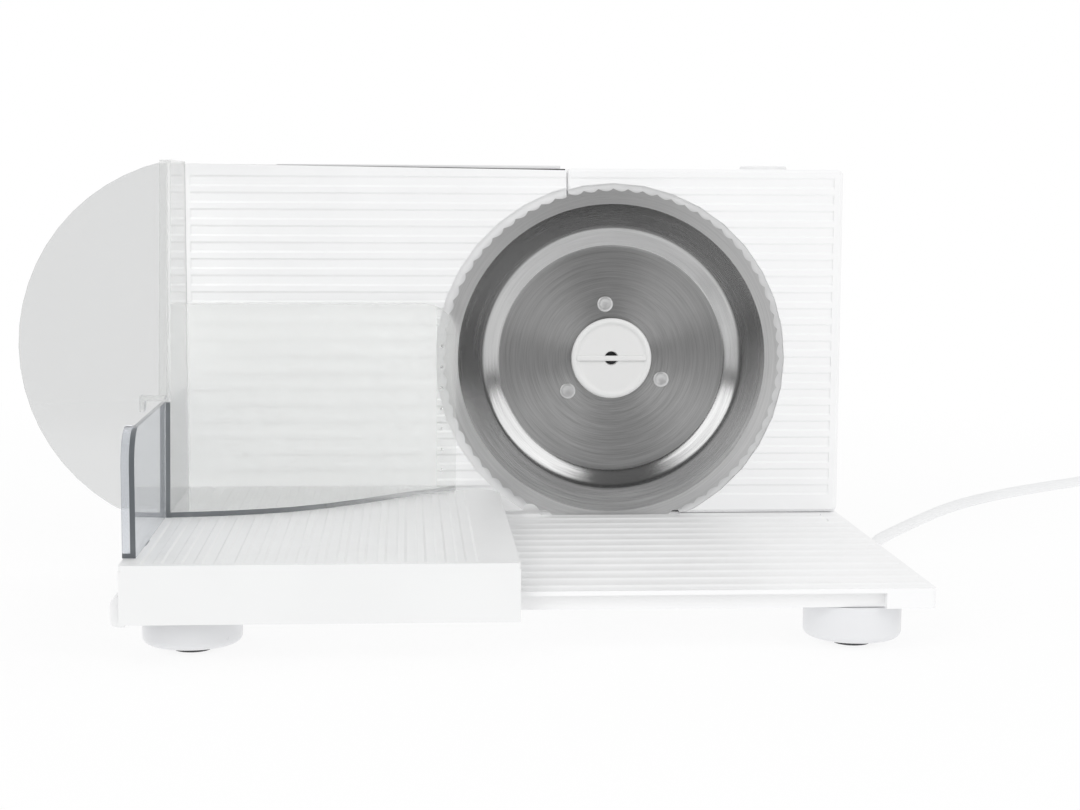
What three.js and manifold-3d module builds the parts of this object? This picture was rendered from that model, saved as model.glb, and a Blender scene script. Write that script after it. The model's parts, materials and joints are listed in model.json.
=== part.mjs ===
// Electric food slicer with a round blade, a sliding carriage and a clear pusher.
// Lengths are millimetres, +Z is up. While modelling, X is 0 on the blade's axis, Y is 0 on the
// front face of the gauge plate (negative towards the user), and Z is 0 on top of the base plate.
// The finished group is moved so that its origin lies on the table, below the object's middle.
import * as THREE from "three";
import { mergeVertices } from "three/addons/utils/BufferGeometryUtils.js";
import Module from "manifold-3d";

const wasm = await Module();
wasm.setup();

// Driving dimensions
const overrun = 1; // a cutter passes this far beyond what it cuts
const weld = 0.0001; // points closer than this are one point
const seatGap = 0.3; // between two pieces that rest on each other
const slideGap = 0.5; // between two pieces that slide on each other
const wall = 2.4; // moulded plastic wall

const blade = {
  radius: 85, spare: 1, dip: 6, bore: 9.2, sheet: 1.2, tipY: -0.5, tipThickness: 0.3, faceY: -1.3,
  bevelWidth: 7.7, bandWidth: 12.3, slopeWidth: 8, dish: 4, teeth: 72, scallop: 1.9,
};
const base = {
  left: -216, front: -195, thickness: 8.5, skin: 2.6, corner: 2.5,
  ribPitch: 15.4, ribWidth: 6, ribHeight: 0.8, ribFirst: 16, ribCount: 12, lipThickness: 1.9,
  lipReach: 4.5, blockWidth: 21, slotSide: 4, slotFront: 2.6, slotBack: 6, webThickness: 2,
};
const foot = {
  radius: 20.7, height: 15.4, edge: 3, frontMargin: 2.3, rearMargin: 3.3, leftMargin: 3.3,
  rightMargin: 9.7, recess: 3,
};
const pad = { radius: 8.2, thickness: 5.9, ring: 3.4, cup: 1.4 };
const ribs = { pitch: 8.15, ridge: 2.6, slope: 1, depth: 0.5, topMargin: 4.1 };
const housing = {
  left: -22.7, right: 116.2, overRecess: 7.2, bottom: 0.3, split: 46, back: 74, edge: 1.6,
  backEdge: 2.6, corner: 3, recessGap: 2.6, recessDepth: 8, plainRight: 4.7,
};
const gauge = {
  leftInset: 3.8, leftRise: 1.4, rightDrop: 0.9, bottom: 2, thickness: 3, rim: 5, arcGap: 3.6,
  plainLeft: 3.2, sideGap: 0.7, travel: 15,
};
const carrier = {
  leftInset: 10.2, right: -96, bottom: 10, topDrop: 7.8, thickness: 4.6, barInset: 45.2, frame: 9.6,
};
const guideRod = {
  radius: 4, leftInset: 16, rightInset: 20, height: 25, end: 57, boss: 7.2, bossLength: 2.3,
};
const guide = { front: 31, block: 6, second: 49, plate: 3.6, margin: 12, headroom: 9 };
const follower = {
  lap: 4, thickness: 8.5, bottom: 17, height: 10, post: 7, postGap: 3.2, pinRadius: 1.15,
  head: 2.6,
};
const cam = {
  x: 22, below: 43, radius: 10, front: 14.2, back: 40, groove: 2, grooveDepth: 3.2, shaft: 4.5,
  pinDepth: 2, turnDeg: 270, endDeg: 10, pinDeg: -90,
};
const dial = { radius: 24, thickness: 14, flutes: 20, flute: 1.4, hub: 8, edge: 1.5, recess: 3,
  ridge: 3 };

const carriage = {
  overhang: 2, bladeOverlap: 28, reach: 8, back: -3, top: 13.4, skirtBottom: -10.8, ribGap: 0.6,
  corner: 12, smallCorner: 1.5, ribMargin: 8, frontMargin: 4, tongueLeft: 15, tongueRight: 22,
  tongueThickness: 1.8,
};
const guard = {
  inset: 3.1, thickness: 2.1, nearInset: 15, far: -3.5, top: 66, nearCorner: 15, farCorner: 3,
  flange: 3.4, tabWidth: 14, tabDepth: 4, tabInset: 30,
};
const pusher = {
  wallThickness: 2, nearBottom: -87, nearHook: -81, nearTop: -65, top: 176, sheet: 2.2,
  faceY: -5, shieldOffset: 11, shieldZ: 85.8, shieldRadius: 92.7, shieldBottom: 5.2,
  bladeOverlap: 6.5, plateTop: 106.6, plateCorner: 15, floorThickness: 2.4, flange: 3.2,
  hookReach: 12, hookLength: 9, hookLip: 5, strip: 8.8, stripProud: 1,
};
const spike = { length: 2.4, radius: 1, pitch: 10.3, marginX: 14, marginTop: 7, marginBottom: 10 };

const hub = { radius: 33, thickness: 3.2, gap: 0.4 };
const rivet = { circle: 27.5, head: 3.9, headHeight: 0.7, shank: 2, count: 3, startDeg: 97 };
const knob = {
  radius: 20.2, rim: 2.6, thickness: 2.1, recess: 1.1, bar: 2.6, tail: 8.6, hole: 3.5, holeDepth: 1.1,
};
const spindle = { radius: 4, front: 4.2, back: 60 };
const bush = { outer: 6.3, clearance: 0.3, frontEnd: 30, rearStart: 46.6, rearEnd: 58 };
const wheel = { teeth: 36, module: 1, middle: 38, face: 11, boss: 7.5, web: 4 };
const worm = { pitchRadius: 6, rootRadius: 4.7, outerRadius: 6.85, left: -10, right: 10 };
const motor = {
  coreInset: 28.2, coreLength: 36, fieldRadius: 26.5, fieldInner: 22, poleBore: 15.9,
  poleHalf: 9, armatureRadius: 15, shaftRadius: 3, shaftLead: 9, shaftInset: 8.2, commutatorRadius: 9,
  commutatorLength: 9, bracketWall: 2.6, bellLeft: 16, bellRight: 14, bearingRadius: 7,
  bearingLength: 3, fanRadius: 20, fanWidth: 6, fanBlade: 1.4, fanBlades: 9, fanOffset: 6,
  windowWidth: 16, saddleInset: 3, saddleHalf: 15, saddleDepth: 19,
};
const endBush = { outer: 5.3, gap: 1.2 };
const gearPlate = { front: 52, thickness: 2.6, left: -19.5, right: 34.5, below: 29, above: 41,
  corner: 5 };
const post = { radius: 3.6, pilot: 1.3, pilotDepth: 5 };
const button = {
  inset: 35.7, y: 30, radius: 12, proud: 2.1, clearance: 0.4, flange: 2, flangeHeight: 2.4, stem: 2.5,
  stemLength: 5.3, crown: 0.5,
};
const lock = { drop: 25.8, radius: 7, proud: 3, flange: 2, flangeHeight: 2.4, stem: 3.5, depth: 6 };
const powerSwitch = { length: 26, width: 15, height: 6, plunger: 1.5, plungerHeight: 3.4 };
const shelf = { half: 16.5, drop: 23.5, back: 44 };
const spring = { radius: 6.2, wire: 0.6, turns: 4, stepsPerTurn: 8, sides: 5 };
const vent = { count: 8, width: 52, height: 2.6, pitch: 6.4, below: 21 };
const screw = {
  head: 3.4, headHeight: 2, shank: 1.7, coverLength: 30, baseLength: 12, sink: 4.4, inset: 9,
  slot: 0.8, boss: 1.2, footGap: 5.3,
};
const cordGrip = { left: 62, length: 18, width: 16, bottom: 20.5 };
const relief = { length: 30, startRadius: 5.2, endRadius: 3.9, ribs: 4, ribGap: 1.3, ribDepth: 0.7 };
const cord = { diameter: 6.2, exitHeight: -14.6, exitY: 10, lift: 0.05 };
const coil = {
  x: 408, y: 262, gap: 0.6, middleRadius: 33.5, dip: 2, tail: 22, startDeg: 112, turnsPerLayer: 2,
};
const plug = {
  length: 34, width: 26, thickness: 12, neck: 9, nose: 3, pinRadius: 2, pinLength: 19,
  pinSpacing: 19, pinRoot: 5,
};
const railCap = { reach: 6, wrap: 8.4, top: -0.2, bottom: -12.4, lap: 12, proud: 4, corner: 3 };
const latch = { inset: 9.7, width: 0.9, dash: 4, pitch: 8.5, count: 3, depth: 0.7, start: 4 };

// How finely round shapes are drawn
const counts = {
  ring: 36, rod: 12, small: 8, foot: 18, curve: 3, bevel: 1, shield: 56, floorEdge: 10, spike: 3,
  groove: 5, helix: 18, worm: 8, cord: 8, cordSteps: 36, coilSteps: 22, coilSides: 6,
};

// Proportions that follow a size without being one
const halfShare = 1 / 2;
const crownShare = 0.35; // how far the edge of a domed top drops, of the dome's height
const roundShares = [0.293, 0.293]; // middle point of a quarter round, from its corner
const ribShoulderShares = [0.62, 0.55]; // a base rib's shoulder: of its half width, of its height
const scallopShares = [[0, 0], [0.2, 0.8], [0.55, 1]]; // of a tooth's pitch, of its depth
const fluteShares = [[0, 0], [0.5, 0], [0.75, 1]]; // the same for the dial's flutes
const addendumShare = 0.88; // a wheel tooth above its pitch circle, of the module
const dedendumShare = 1.2; // and below it
const toothShares = [0.13, 0.3]; // half a wheel tooth at its tip and root, of its pitch
const threadShares = [0.115, 0.26]; // half a worm thread at its crest and root, of its lead
const bandShare = 1.15; // how far the guard's flange follows its top, of the corner radius
const plugShares = [0.28, 0.5]; // where the plug's waist and shoulder lie, of its length
const probeShare = 0.001; // a short step along the coil, in turns

// The curved near edge of the pusher's floor: shares of the way left, and of the way forward
const floorShares = [
  [0, 0], [0.06, 0.086], [0.207, 0.302], [0.384, 0.588], [0.553, 0.797], [0.72, 0.911],
  [0.86, 0.968], [1, 1],
];

// Places that follow from the driving dimensions
const footTop = -base.thickness - seatGap;
const footBottom = footTop - foot.height;
const tableZ = footBottom + foot.recess - seatGap - pad.thickness;
const axisZ = blade.radius - blade.dip;
const bevelInner = blade.radius - blade.bevelWidth;
const bandInner = bevelInner - blade.bandWidth;
const dishRadius = bandInner - blade.slopeWidth;
const recessRadius = blade.radius + housing.recessGap;
const arcRadius = blade.radius + gauge.arcGap;
const housingTop = axisZ + recessRadius + housing.overRecess;
const ribsTop = housingTop - ribs.topMargin;
const ribsCount = Math.floor((ribsTop - housing.bottom) / ribs.pitch);
const gaugeLeft = base.left + gauge.leftInset;
const gaugeRight = housing.left - gauge.sideGap;
const gaugeLeftTop = housingTop + gauge.leftRise;
const gaugeRightTop = housingTop - gauge.rightDrop;
const carrierLeft = gaugeLeft + carrier.leftInset;
const carrierTop = housingTop - carrier.topDrop;
const rodXs = [carrierLeft + guideRod.leftInset, carrier.right - guideRod.rightInset];
const carriageLeft = base.left - carriage.overhang;
const carriageFront = base.front - carriage.reach;
const carriageRight = carriage.bladeOverlap - blade.radius;
const pusherPlateRight = pusher.bladeOverlap - blade.radius;
const wheelPitchRadius = wheel.teeth * wheel.module / 2;
const motorY = wheel.middle;
const motorZ = axisZ + wheelPitchRadius + worm.pitchRadius;
const coreRight = housing.right - motor.coreInset;
const coreLeft = coreRight - motor.coreLength;
const shaftLeft = worm.left - motor.shaftLead;
const shaftRight = housing.right - motor.shaftInset;
const buttonX = housing.right - button.inset;
const lockZ = housingTop - lock.drop;
const shelfTop = housingTop - shelf.drop;
const plateBottom = axisZ - gearPlate.below;
const plateTop = axisZ + gearPlate.above;
const camZ = axisZ - cam.below;
const dishY = blade.faceY + blade.dish;
const hubFront = dishY + blade.sheet + hub.gap;
const hubBack = hubFront + hub.thickness;
const recessBack = housing.recessDepth + wall;
const carrierFront = gauge.thickness + gauge.rim + seatGap;
const carrierBack = carrierFront + carrier.thickness;
const followerFront = carrierBack + seatGap;
const followerBack = followerFront + follower.thickness;
const pinY = (followerFront + followerBack) / 2;
const deckZ = carriage.top + seatGap;
const guardLeft = carriageLeft + guard.inset;
const guardRight = guardLeft + guard.thickness;
const guardNear = carriageFront + guard.nearInset;
const pusherLeft = guardRight + seatGap;
const pusherRight = pusherLeft + pusher.wallThickness;
const shieldX = pusherRight + pusher.shieldOffset;
const pusherFront = pusher.faceY - pusher.sheet;
const hookBottom = guard.top + slideGap;
const hookTop = hookBottom + pusher.wallThickness;
const buttonCeiling = housingTop - wall - seatGap;
const buttonUnderside = buttonCeiling - button.flangeHeight;
const switchTop = shelfTop + seatGap + powerSwitch.height;
const dialFront = housing.back + seatGap;
const dialBack = dialFront + dial.thickness;
const camShaftEnd = dialBack - dial.recess - wall;
const coverFront = housing.split + seatGap;
const coverSeat = housing.back - screw.sink + seatGap;
const baseSeat = -base.skin - seatGap;
const coilPitch = cord.diameter + coil.gap;
const lieZ = tableZ + cord.diameter / 2 + cord.lift;

const footLeft = base.left + foot.radius + foot.leftMargin;
const footRight = housing.right - foot.radius - foot.rightMargin;
const footFront = base.front + foot.radius + foot.frontMargin;
const footRear = housing.back - foot.radius - foot.rearMargin;
const footPlaces = {
  front_left: [footLeft, footFront],
  front_right: [footRight, footFront],
  rear_left: [footLeft, footRear],
  rear_right: [footRight, footRear],
};
const coverScrewPlaces = corners(housing.left + screw.inset, housing.right - screw.inset,
  housing.bottom + screw.inset, housingTop - screw.inset);
const platePostPlaces = corners(gearPlate.left + gearPlate.corner, gearPlate.right - gearPlate.corner,
  plateBottom + gearPlate.corner, plateTop - gearPlate.corner);
const baseScrewY = footRear - foot.radius - screw.footGap;
const baseScrewXs = [housing.left + screw.inset + wall, buttonX + shelf.half];
const rivetPlaces = [];
for (let i = 0; i < rivet.count; i += 1) {
  const a = radians(rivet.startDeg) + 2 * Math.PI * i / rivet.count;
  rivetPlaces.push([rivet.circle * Math.cos(a), axisZ + rivet.circle * Math.sin(a)]);
}

function corners(a0, a1, b0, b1) {
  return [[a0, b0], [a1, b0], [a1, b1], [a0, b1]];
}

function radians(degrees) {
  return THREE.MathUtils.degToRad(degrees);
}

function unit(x, y, z) {
  return new THREE.Vector3(x, y, z);
}

// A closed geometry becomes a solid that can be joined and cut
function solid(geometry) {
  const bare = geometry.clone();
  for (const name of Object.keys(bare.attributes)) {
    if (name !== "position") bare.deleteAttribute(name);
  }
  bare.clearGroups();
  const merged = mergeVertices(bare, weld);
  const p = merged.attributes.position;
  const index = merged.index.array;
  const kept = [];
  let volume = 0;
  for (let i = 0; i < index.length; i += 3) {
    const [a, b, c] = [index[i], index[i + 1], index[i + 2]];
    if (a !== b && b !== c && c !== a) {
      kept.push(a, b, c);
      const [va, vb, vc] = [a, b, c].map((k) => unit(p.getX(k), p.getY(k), p.getZ(k)));
      volume += va.dot(vb.cross(vc));
    }
  }
  if (volume < 0) kept.reverse();
  return new wasm.Manifold(new wasm.Mesh({
    numProp: 3,
    vertProperties: new Float32Array(p.array),
    triVerts: new Uint32Array(kept),
  }));
}

function join(...solids) {
  return solids.reduce((all, next) => all.add(next));
}

function cut(body, ...cutters) {
  return cutters.reduce((left, cutter) => left.subtract(cutter), body);
}

const slicer = new THREE.Group();

function piece(name, body, material) {
  const mesh = body.getMesh();
  const geometry = new THREE.BufferGeometry();
  const places = new THREE.BufferAttribute(Float32Array.from(mesh.vertProperties), mesh.numProp);
  geometry.setAttribute("position", places);
  geometry.setIndex(new THREE.BufferAttribute(Uint32Array.from(mesh.triVerts), 1));
  geometry.computeVertexNormals();
  const node = new THREE.Mesh(geometry, material);
  node.name = name;
  slicer.add(node);
  return node;
}

function plastic(color, roughness) {
  return new THREE.MeshStandardMaterial({ color, roughness, metalness: 0 });
}

function clear(color) {
  return new THREE.MeshStandardMaterial({ color, roughness: 0.08, metalness: 0, transparent: true,
    opacity: 0.35 });
}

function metal(color, roughness) {
  return new THREE.MeshStandardMaterial({ color, roughness, metalness: 1 });
}

// Plain forms, each placed by where it starts and ends along every axis
function block(x0, x1, y0, y1, z0, z1) {
  const box = new THREE.BoxGeometry(x1 - x0, y1 - y0, z1 - z0);
  return solid(box.translate((x0 + x1) / 2, (y0 + y1) / 2, (z0 + z1) / 2));
}

// A revolve about a line along one axis, through (a, b) on the other two; points are
// [radius, place on the line]
function revolve(axis, a, b, points, sides = counts.rod) {
  const lathe = new THREE.LatheGeometry(points.map(([r, at]) => new THREE.Vector2(r, at)), sides);
  if (axis === "x") return solid(lathe.rotateZ(-Math.PI / 2).translate(0, a, b));
  if (axis === "z") return solid(lathe.rotateX(Math.PI / 2).translate(a, b, 0));
  return solid(lathe.translate(a, 0, b));
}

function rod(axis, a, b, radius, from, to, sides = counts.rod) {
  return revolve(axis, a, b, [[0, from], [radius, from], [radius, to], [0, to]], sides);
}

function tube(axis, a, b, inner, outer, from, to, sides = counts.rod) {
  const ring = [[inner, from], [outer, from], [outer, to], [inner, to], [inner, from]];
  return revolve(axis, a, b, ring, sides);
}

// An outline pushed along an axis. The outline's own axes are Y and Z for a push along X,
// X and Z for a push along Y, and X and Y for a push along Z.
const turned = {
  x: new THREE.Matrix4().makeBasis(unit(0, 1, 0), unit(0, 0, 1), unit(1, 0, 0)),
  y: new THREE.Matrix4().makeBasis(unit(1, 0, 0), unit(0, 0, 1), unit(0, -1, 0)),
  z: new THREE.Matrix4(),
};

function pushed(axis, shape, from, to, bevel = 0) {
  const geometry = new THREE.ExtrudeGeometry(shape, {
    depth: to - from - 2 * bevel,
    curveSegments: counts.curve,
    bevelEnabled: bevel > 0,
    bevelThickness: bevel,
    bevelSize: bevel,
    bevelOffset: -bevel,
    bevelSegments: counts.bevel,
  });
  geometry.translate(0, 0, bevel);
  geometry.applyMatrix4(turned[axis]);
  if (axis === "x") geometry.translate(from, 0, 0);
  if (axis === "y") geometry.translate(0, to, 0);
  if (axis === "z") geometry.translate(0, 0, from);
  return solid(geometry);
}

function outline(points) {
  return new THREE.Shape(points.map(([a, b]) => new THREE.Vector2(a, b)));
}

// A rectangle whose corners have their own radii, from the lower left, anticlockwise
function rounded(a0, a1, b0, b1, [r0, r1 = r0, r2 = r0, r3 = r0]) {
  const s = new THREE.Shape();
  const quarter = Math.PI / 2;
  s.moveTo(a0 + r0, b0);
  s.lineTo(a1 - r1, b0);
  if (r1 > 0) s.absarc(a1 - r1, b0 + r1, r1, -quarter, 0, false);
  s.lineTo(a1, b1 - r2);
  if (r2 > 0) s.absarc(a1 - r2, b1 - r2, r2, 0, quarter, false);
  s.lineTo(a0 + r3, b1);
  if (r3 > 0) s.absarc(a0 + r3, b1 - r3, r3, quarter, 2 * quarter, false);
  s.lineTo(a0, b0 + r0);
  if (r0 > 0) s.absarc(a0 + r0, b0 + r0, r0, 2 * quarter, 3 * quarter, false);
  return s;
}

// A cutter's outline that leaves flat ridges between sloped grooves. It begins at one place and
// steps away by the pitch; "into" is the direction that cuts into the face.
function comb(face, into, start, count, away) {
  const points = [[face - into * overrun, start]];
  const width = ribs.pitch - ribs.ridge;
  for (let i = 0; i < count; i += 1) {
    const a = start + away * i * ribs.pitch;
    const b = a + away * width;
    points.push([face, a], [face + into * ribs.depth, a + away * ribs.slope]);
    points.push([face + into * ribs.depth, b - away * ribs.slope], [face, b]);
  }
  const end = start + away * ((count - 1) * ribs.pitch + width);
  points.push([face - into * overrun, end]);
  return points;
}

// A closed skin over rings of points that all have the same count, with flat ends
function loft(rings) {
  const n = rings[0].length;
  const index = [];
  for (let i = 0; i + 1 < rings.length; i += 1) {
    for (let j = 0; j < n; j += 1) {
      const [a, b] = [i * n + j, i * n + (j + 1) % n];
      index.push(a, b, b + n, a, b + n, a + n);
    }
  }
  const last = (rings.length - 1) * n;
  for (let j = 1; j + 1 < n; j += 1) {
    index.push(0, j + 1, j);
    index.push(last, last + j, last + j + 1);
  }
  const geometry = new THREE.BufferGeometry();
  geometry.setAttribute("position", new THREE.Float32BufferAttribute(rings.flat(2), 3));
  geometry.setIndex(index);
  return solid(geometry);
}

// Base plate: a shallow tray upside down, with ribs on top, a rail lip along its front, a slot
// that the lower edge of the blade dips into, and rings under it that the feet sit on
function makeBase() {
  const b = base;
  const wallFront = b.front + b.lipReach;
  const plate = pushed("z", rounded(b.left, housing.right, b.front, housing.back, [b.corner]),
    -b.thickness, 0);
  const hollow = block(b.left + wall, housing.right - wall, wallFront + wall, housing.back - wall,
    -b.thickness - overrun, -b.skin);
  let body = cut(plate, hollow);
  for (const x of [footPlaces.front_left[0], 0, footPlaces.front_right[0]]) {
    const half = b.webThickness / 2;
    body = join(body, block(x - half, x + half, wallFront + wall / 2, -b.slotFront - wall,
      -b.thickness, -b.skin / 2));
  }
  for (const [x, y] of Object.values(footPlaces)) {
    body = join(body, tube("z", x, y, foot.radius - wall, foot.radius, -b.thickness, -b.skin / 2));
  }
  for (let i = 0; i < b.ribCount; i += 1) {
    const y = -b.ribFirst - i * b.ribPitch;
    const half = b.ribWidth / 2;
    const [shoulder, rise] = [half * ribShoulderShares[0], b.ribHeight * ribShoulderShares[1]];
    body = join(body, pushed("x", outline([
      [y - half, -b.ribHeight], [y + half, -b.ribHeight], [y + half, 0], [y + shoulder, rise],
      [y, b.ribHeight], [y - shoulder, rise], [y - half, 0],
    ]), b.left + wall, housing.right - wall));
  }
  const railRecess = block(b.left - overrun, housing.right - b.blockWidth, b.front - overrun, wallFront,
    -b.thickness - overrun, -b.lipThickness);
  const slotHalf = Math.sqrt(blade.radius ** 2 - axisZ ** 2) + b.slotSide;
  const slot = block(-slotHalf, slotHalf, -b.slotFront, b.slotBack, -b.thickness - overrun, overrun);
  const cutters = [railRecess, slot];
  const latchX = housing.right - latch.inset;
  for (let i = 0; i < latch.count; i += 1) {
    const y = -latch.start - i * latch.pitch;
    cutters.push(block(latchX - latch.width / 2, latchX + latch.width / 2, y - latch.dash, y,
      -latch.depth, b.ribHeight + overrun));
  }
  for (const x of baseScrewXs) {
    cutters.push(rod("z", x, baseScrewY, screw.shank + seatGap, -b.thickness, overrun, counts.small));
  }
  return cut(body, ...cutters);
}

function makeRailCap() {
  const c = railCap;
  const shape = rounded(base.left - c.reach, base.left - seatGap, c.bottom, c.top,
    [c.corner, 0, 0, c.corner]);
  const back = base.front + c.lap;
  const wrap = block(base.left - wall, base.left - wall + c.wrap, base.front + base.lipReach + wall,
    back, c.bottom, -base.thickness - seatGap);
  return join(pushed("y", shape, base.front - c.proud, back), wrap);
}

function makeFoot([x, y]) {
  const { radius: r, edge: e } = foot;
  const inner = pad.radius + seatGap;
  return revolve("z", x, y, [
    [0, footBottom + foot.recess], [inner, footBottom + foot.recess], [inner, footBottom],
    [r - e, footBottom], [r - e * roundShares[0], footBottom + e * roundShares[1]],
    [r, footBottom + e], [r, footTop], [0, footTop],
  ], counts.foot);
}

// Suction pad: it stands on a flat ring, with a shallow cup inside the ring
function makePad([x, y]) {
  const top = tableZ + pad.thickness;
  const inner = pad.radius - pad.ring;
  return revolve("z", x, y, [
    [0, tableZ + pad.cup], [inner, tableZ], [pad.radius, tableZ],
    [pad.radius, top - pad.cup], [pad.radius - pad.cup, top], [0, top],
  ], counts.foot);
}

// Motor housing, front shell: a rounded box open at its back, with the recess for the blade.
// Inside are the spindle boss, the posts for screws and gearbox, the motor's saddles, the
// bearing boss of the motor shaft and the shelf of the power switch.
function makeHousing() {
  const h = housing;
  const box = pushed("y", rounded(h.left, h.right, h.bottom, housingTop, [h.corner]), 0,
    h.split + h.edge, h.edge);
  const behind = block(h.left - overrun, h.right + overrun, h.split, h.back, 0, housingTop + overrun);
  const envelope = cut(box, behind);
  const space = block(h.left + wall, h.right - wall, wall, h.back, h.bottom + wall, housingTop - wall);
  const dish = rod("y", 0, axisZ, recessRadius + wall, 0, recessBack, counts.ring);
  const inside = [dish.intersect(envelope)];
  for (const [x, z] of coverScrewPlaces) {
    inside.push(rod("y", x, z, post.radius, wall / 2, h.split - seatGap, counts.small));
  }
  const floorBack = h.recessDepth + wall / 2;
  for (const [x, z] of platePostPlaces) {
    inside.push(rod("y", x, z, post.radius, floorBack, gearPlate.front - seatGap, counts.small));
  }
  inside.push(rod("y", 0, axisZ, bush.outer + wall, floorBack, bush.frontEnd));
  inside.push(rod("y", cam.x, camZ, cam.shaft + wall, floorBack, cam.front - seatGap));
  inside.push(rod("x", motorY, motorZ, endBush.outer + wall, h.left + wall / 2,
    worm.left - endBush.gap));
  for (const x of [coreLeft + motor.saddleInset, coreRight - motor.saddleInset - wall]) {
    const saddle = block(x, x + wall, wall / 2, wall / 2 + motor.saddleDepth,
      motorZ - motor.saddleHalf, motorZ + motor.saddleHalf);
    const hold = rod("x", motorY, motorZ, motor.fieldRadius + seatGap, x - overrun,
      x + wall + overrun, counts.ring);
    inside.push(cut(saddle, hold));
  }
  inside.push(block(buttonX - shelf.half, buttonX + shelf.half, wall / 2, shelf.back, shelfTop - wall,
    shelfTop));
  const baseScrewTop = baseSeat + screw.baseLength + overrun;
  for (const x of baseScrewXs) {
    inside.push(rod("z", x, baseScrewY, post.radius, h.bottom + wall / 2, baseScrewTop + wall,
      counts.small));
  }
  const cutters = [
    rod("y", 0, axisZ, recessRadius, -overrun, h.recessDepth, counts.ring),
    pushed("x", outline(comb(0, 1, ribsTop, ribsCount, -1)), h.left - overrun, h.right - h.plainRight),
    rod("y", 0, axisZ, bush.outer, 0, bush.frontEnd + overrun),
    rod("y", cam.x, camZ, cam.shaft + seatGap, recessBack, cam.front),
    rod("x", motorY, motorZ, endBush.outer, h.left + wall, worm.left),
    rod("z", buttonX, button.y, button.radius + button.clearance, buttonCeiling, housingTop + overrun,
      counts.foot),
    block(h.left - overrun, h.left + wall + overrun, followerFront - slideGap,
      followerBack + gauge.travel + slideGap, follower.bottom - slideGap,
      follower.bottom + follower.height + slideGap),
  ];
  for (const [x, z] of coverScrewPlaces) {
    cutters.push(rod("y", x, z, screw.shank + seatGap, coverSeat - screw.coverLength - overrun,
      h.back, counts.small));
  }
  for (const [x, z] of platePostPlaces) {
    cutters.push(rod("y", x, z, post.pilot, gearPlate.front - post.pilotDepth, gearPlate.front,
      counts.small));
  }
  for (const x of baseScrewXs) {
    cutters.push(rod("z", x, baseScrewY, screw.shank + seatGap, 0, baseScrewTop, counts.small));
  }
  return cut(join(cut(envelope, space), ...inside), ...cutters);
}

// Rear cover: vents beside the motor, a hole for the dial's shaft and one for the lock button
function makeRearCover() {
  const h = housing;
  const box = pushed("y", rounded(h.left, h.right, h.bottom, housingTop, [h.corner]),
    h.split - h.backEdge, h.back, h.backEdge);
  const ahead = block(h.left - overrun, h.right + overrun, 0, coverFront, 0, housingTop + overrun);
  const envelope = cut(box, ahead);
  const space = block(h.left + wall, h.right - wall, 0, h.back - wall, h.bottom + wall,
    housingTop - wall);
  const inside = [];
  for (const [x, z] of coverScrewPlaces) {
    inside.push(rod("y", x, z, screw.head + screw.boss, coverFront, h.back - wall / 2, counts.small));
  }
  const bossFront = h.back - 2 * wall;
  inside.push(rod("y", cam.x, camZ, cam.shaft + seatGap + wall, bossFront - dial.hub,
    h.back - wall / 2));
  inside.push(rod("y", buttonX, lockZ, lock.radius + wall, bossFront, h.back - wall / 2));
  const cutters = [
    rod("y", cam.x, camZ, cam.shaft + seatGap, coverFront, h.back + overrun),
    rod("y", buttonX, lockZ, lock.radius + slideGap, coverFront, h.back + overrun),
  ];
  for (const [x, z] of coverScrewPlaces) {
    cutters.push(rod("y", x, z, screw.shank + seatGap, coverFront - overrun, h.back, counts.small));
    cutters.push(rod("y", x, z, screw.head + seatGap, coverSeat - seatGap, h.back + overrun,
      counts.small));
  }
  const middle = (coreLeft + coreRight) / 2;
  for (let i = 0; i < vent.count; i += 1) {
    const z = motorZ - vent.below + i * vent.pitch;
    cutters.push(block(middle - vent.width / 2, middle + vent.width / 2, h.back - wall - overrun,
      h.back + overrun, z, z + vent.height));
  }
  return cut(join(cut(envelope, space), ...inside), ...cutters);
}

// Gauge plate: the food slides on it, and it moves back to set how thick a slice is
function makeGaugePlate() {
  const g = gauge;
  const back = g.thickness + g.rim;
  const face = outline([[gaugeLeft, g.bottom], [gaugeRight, g.bottom], [gaugeRight, gaugeRightTop],
    [gaugeLeft, gaugeLeftTop]]);
  const slab = pushed("y", face, 0, back);
  const pocket = pushed("y", outline([
    [gaugeLeft + wall, g.bottom + wall], [gaugeRight - wall, g.bottom + wall],
    [gaugeRight - wall, gaugeRightTop - wall], [gaugeLeft + wall, gaugeLeftTop - wall],
  ]), g.thickness, back + overrun);
  const arcWall = rod("y", 0, axisZ, arcRadius + wall, g.thickness - wall / 2, back, counts.ring);
  const arc = rod("y", 0, axisZ, arcRadius, -overrun, back + overrun, counts.ring);
  const grooves = pushed("x", outline(comb(0, 1, ribsTop, ribsCount, -1)), gaugeLeft + g.plainLeft,
    gaugeRight + overrun);
  return cut(join(cut(slab, pocket), arcWall.intersect(slab)), arc, grooves);
}

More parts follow.
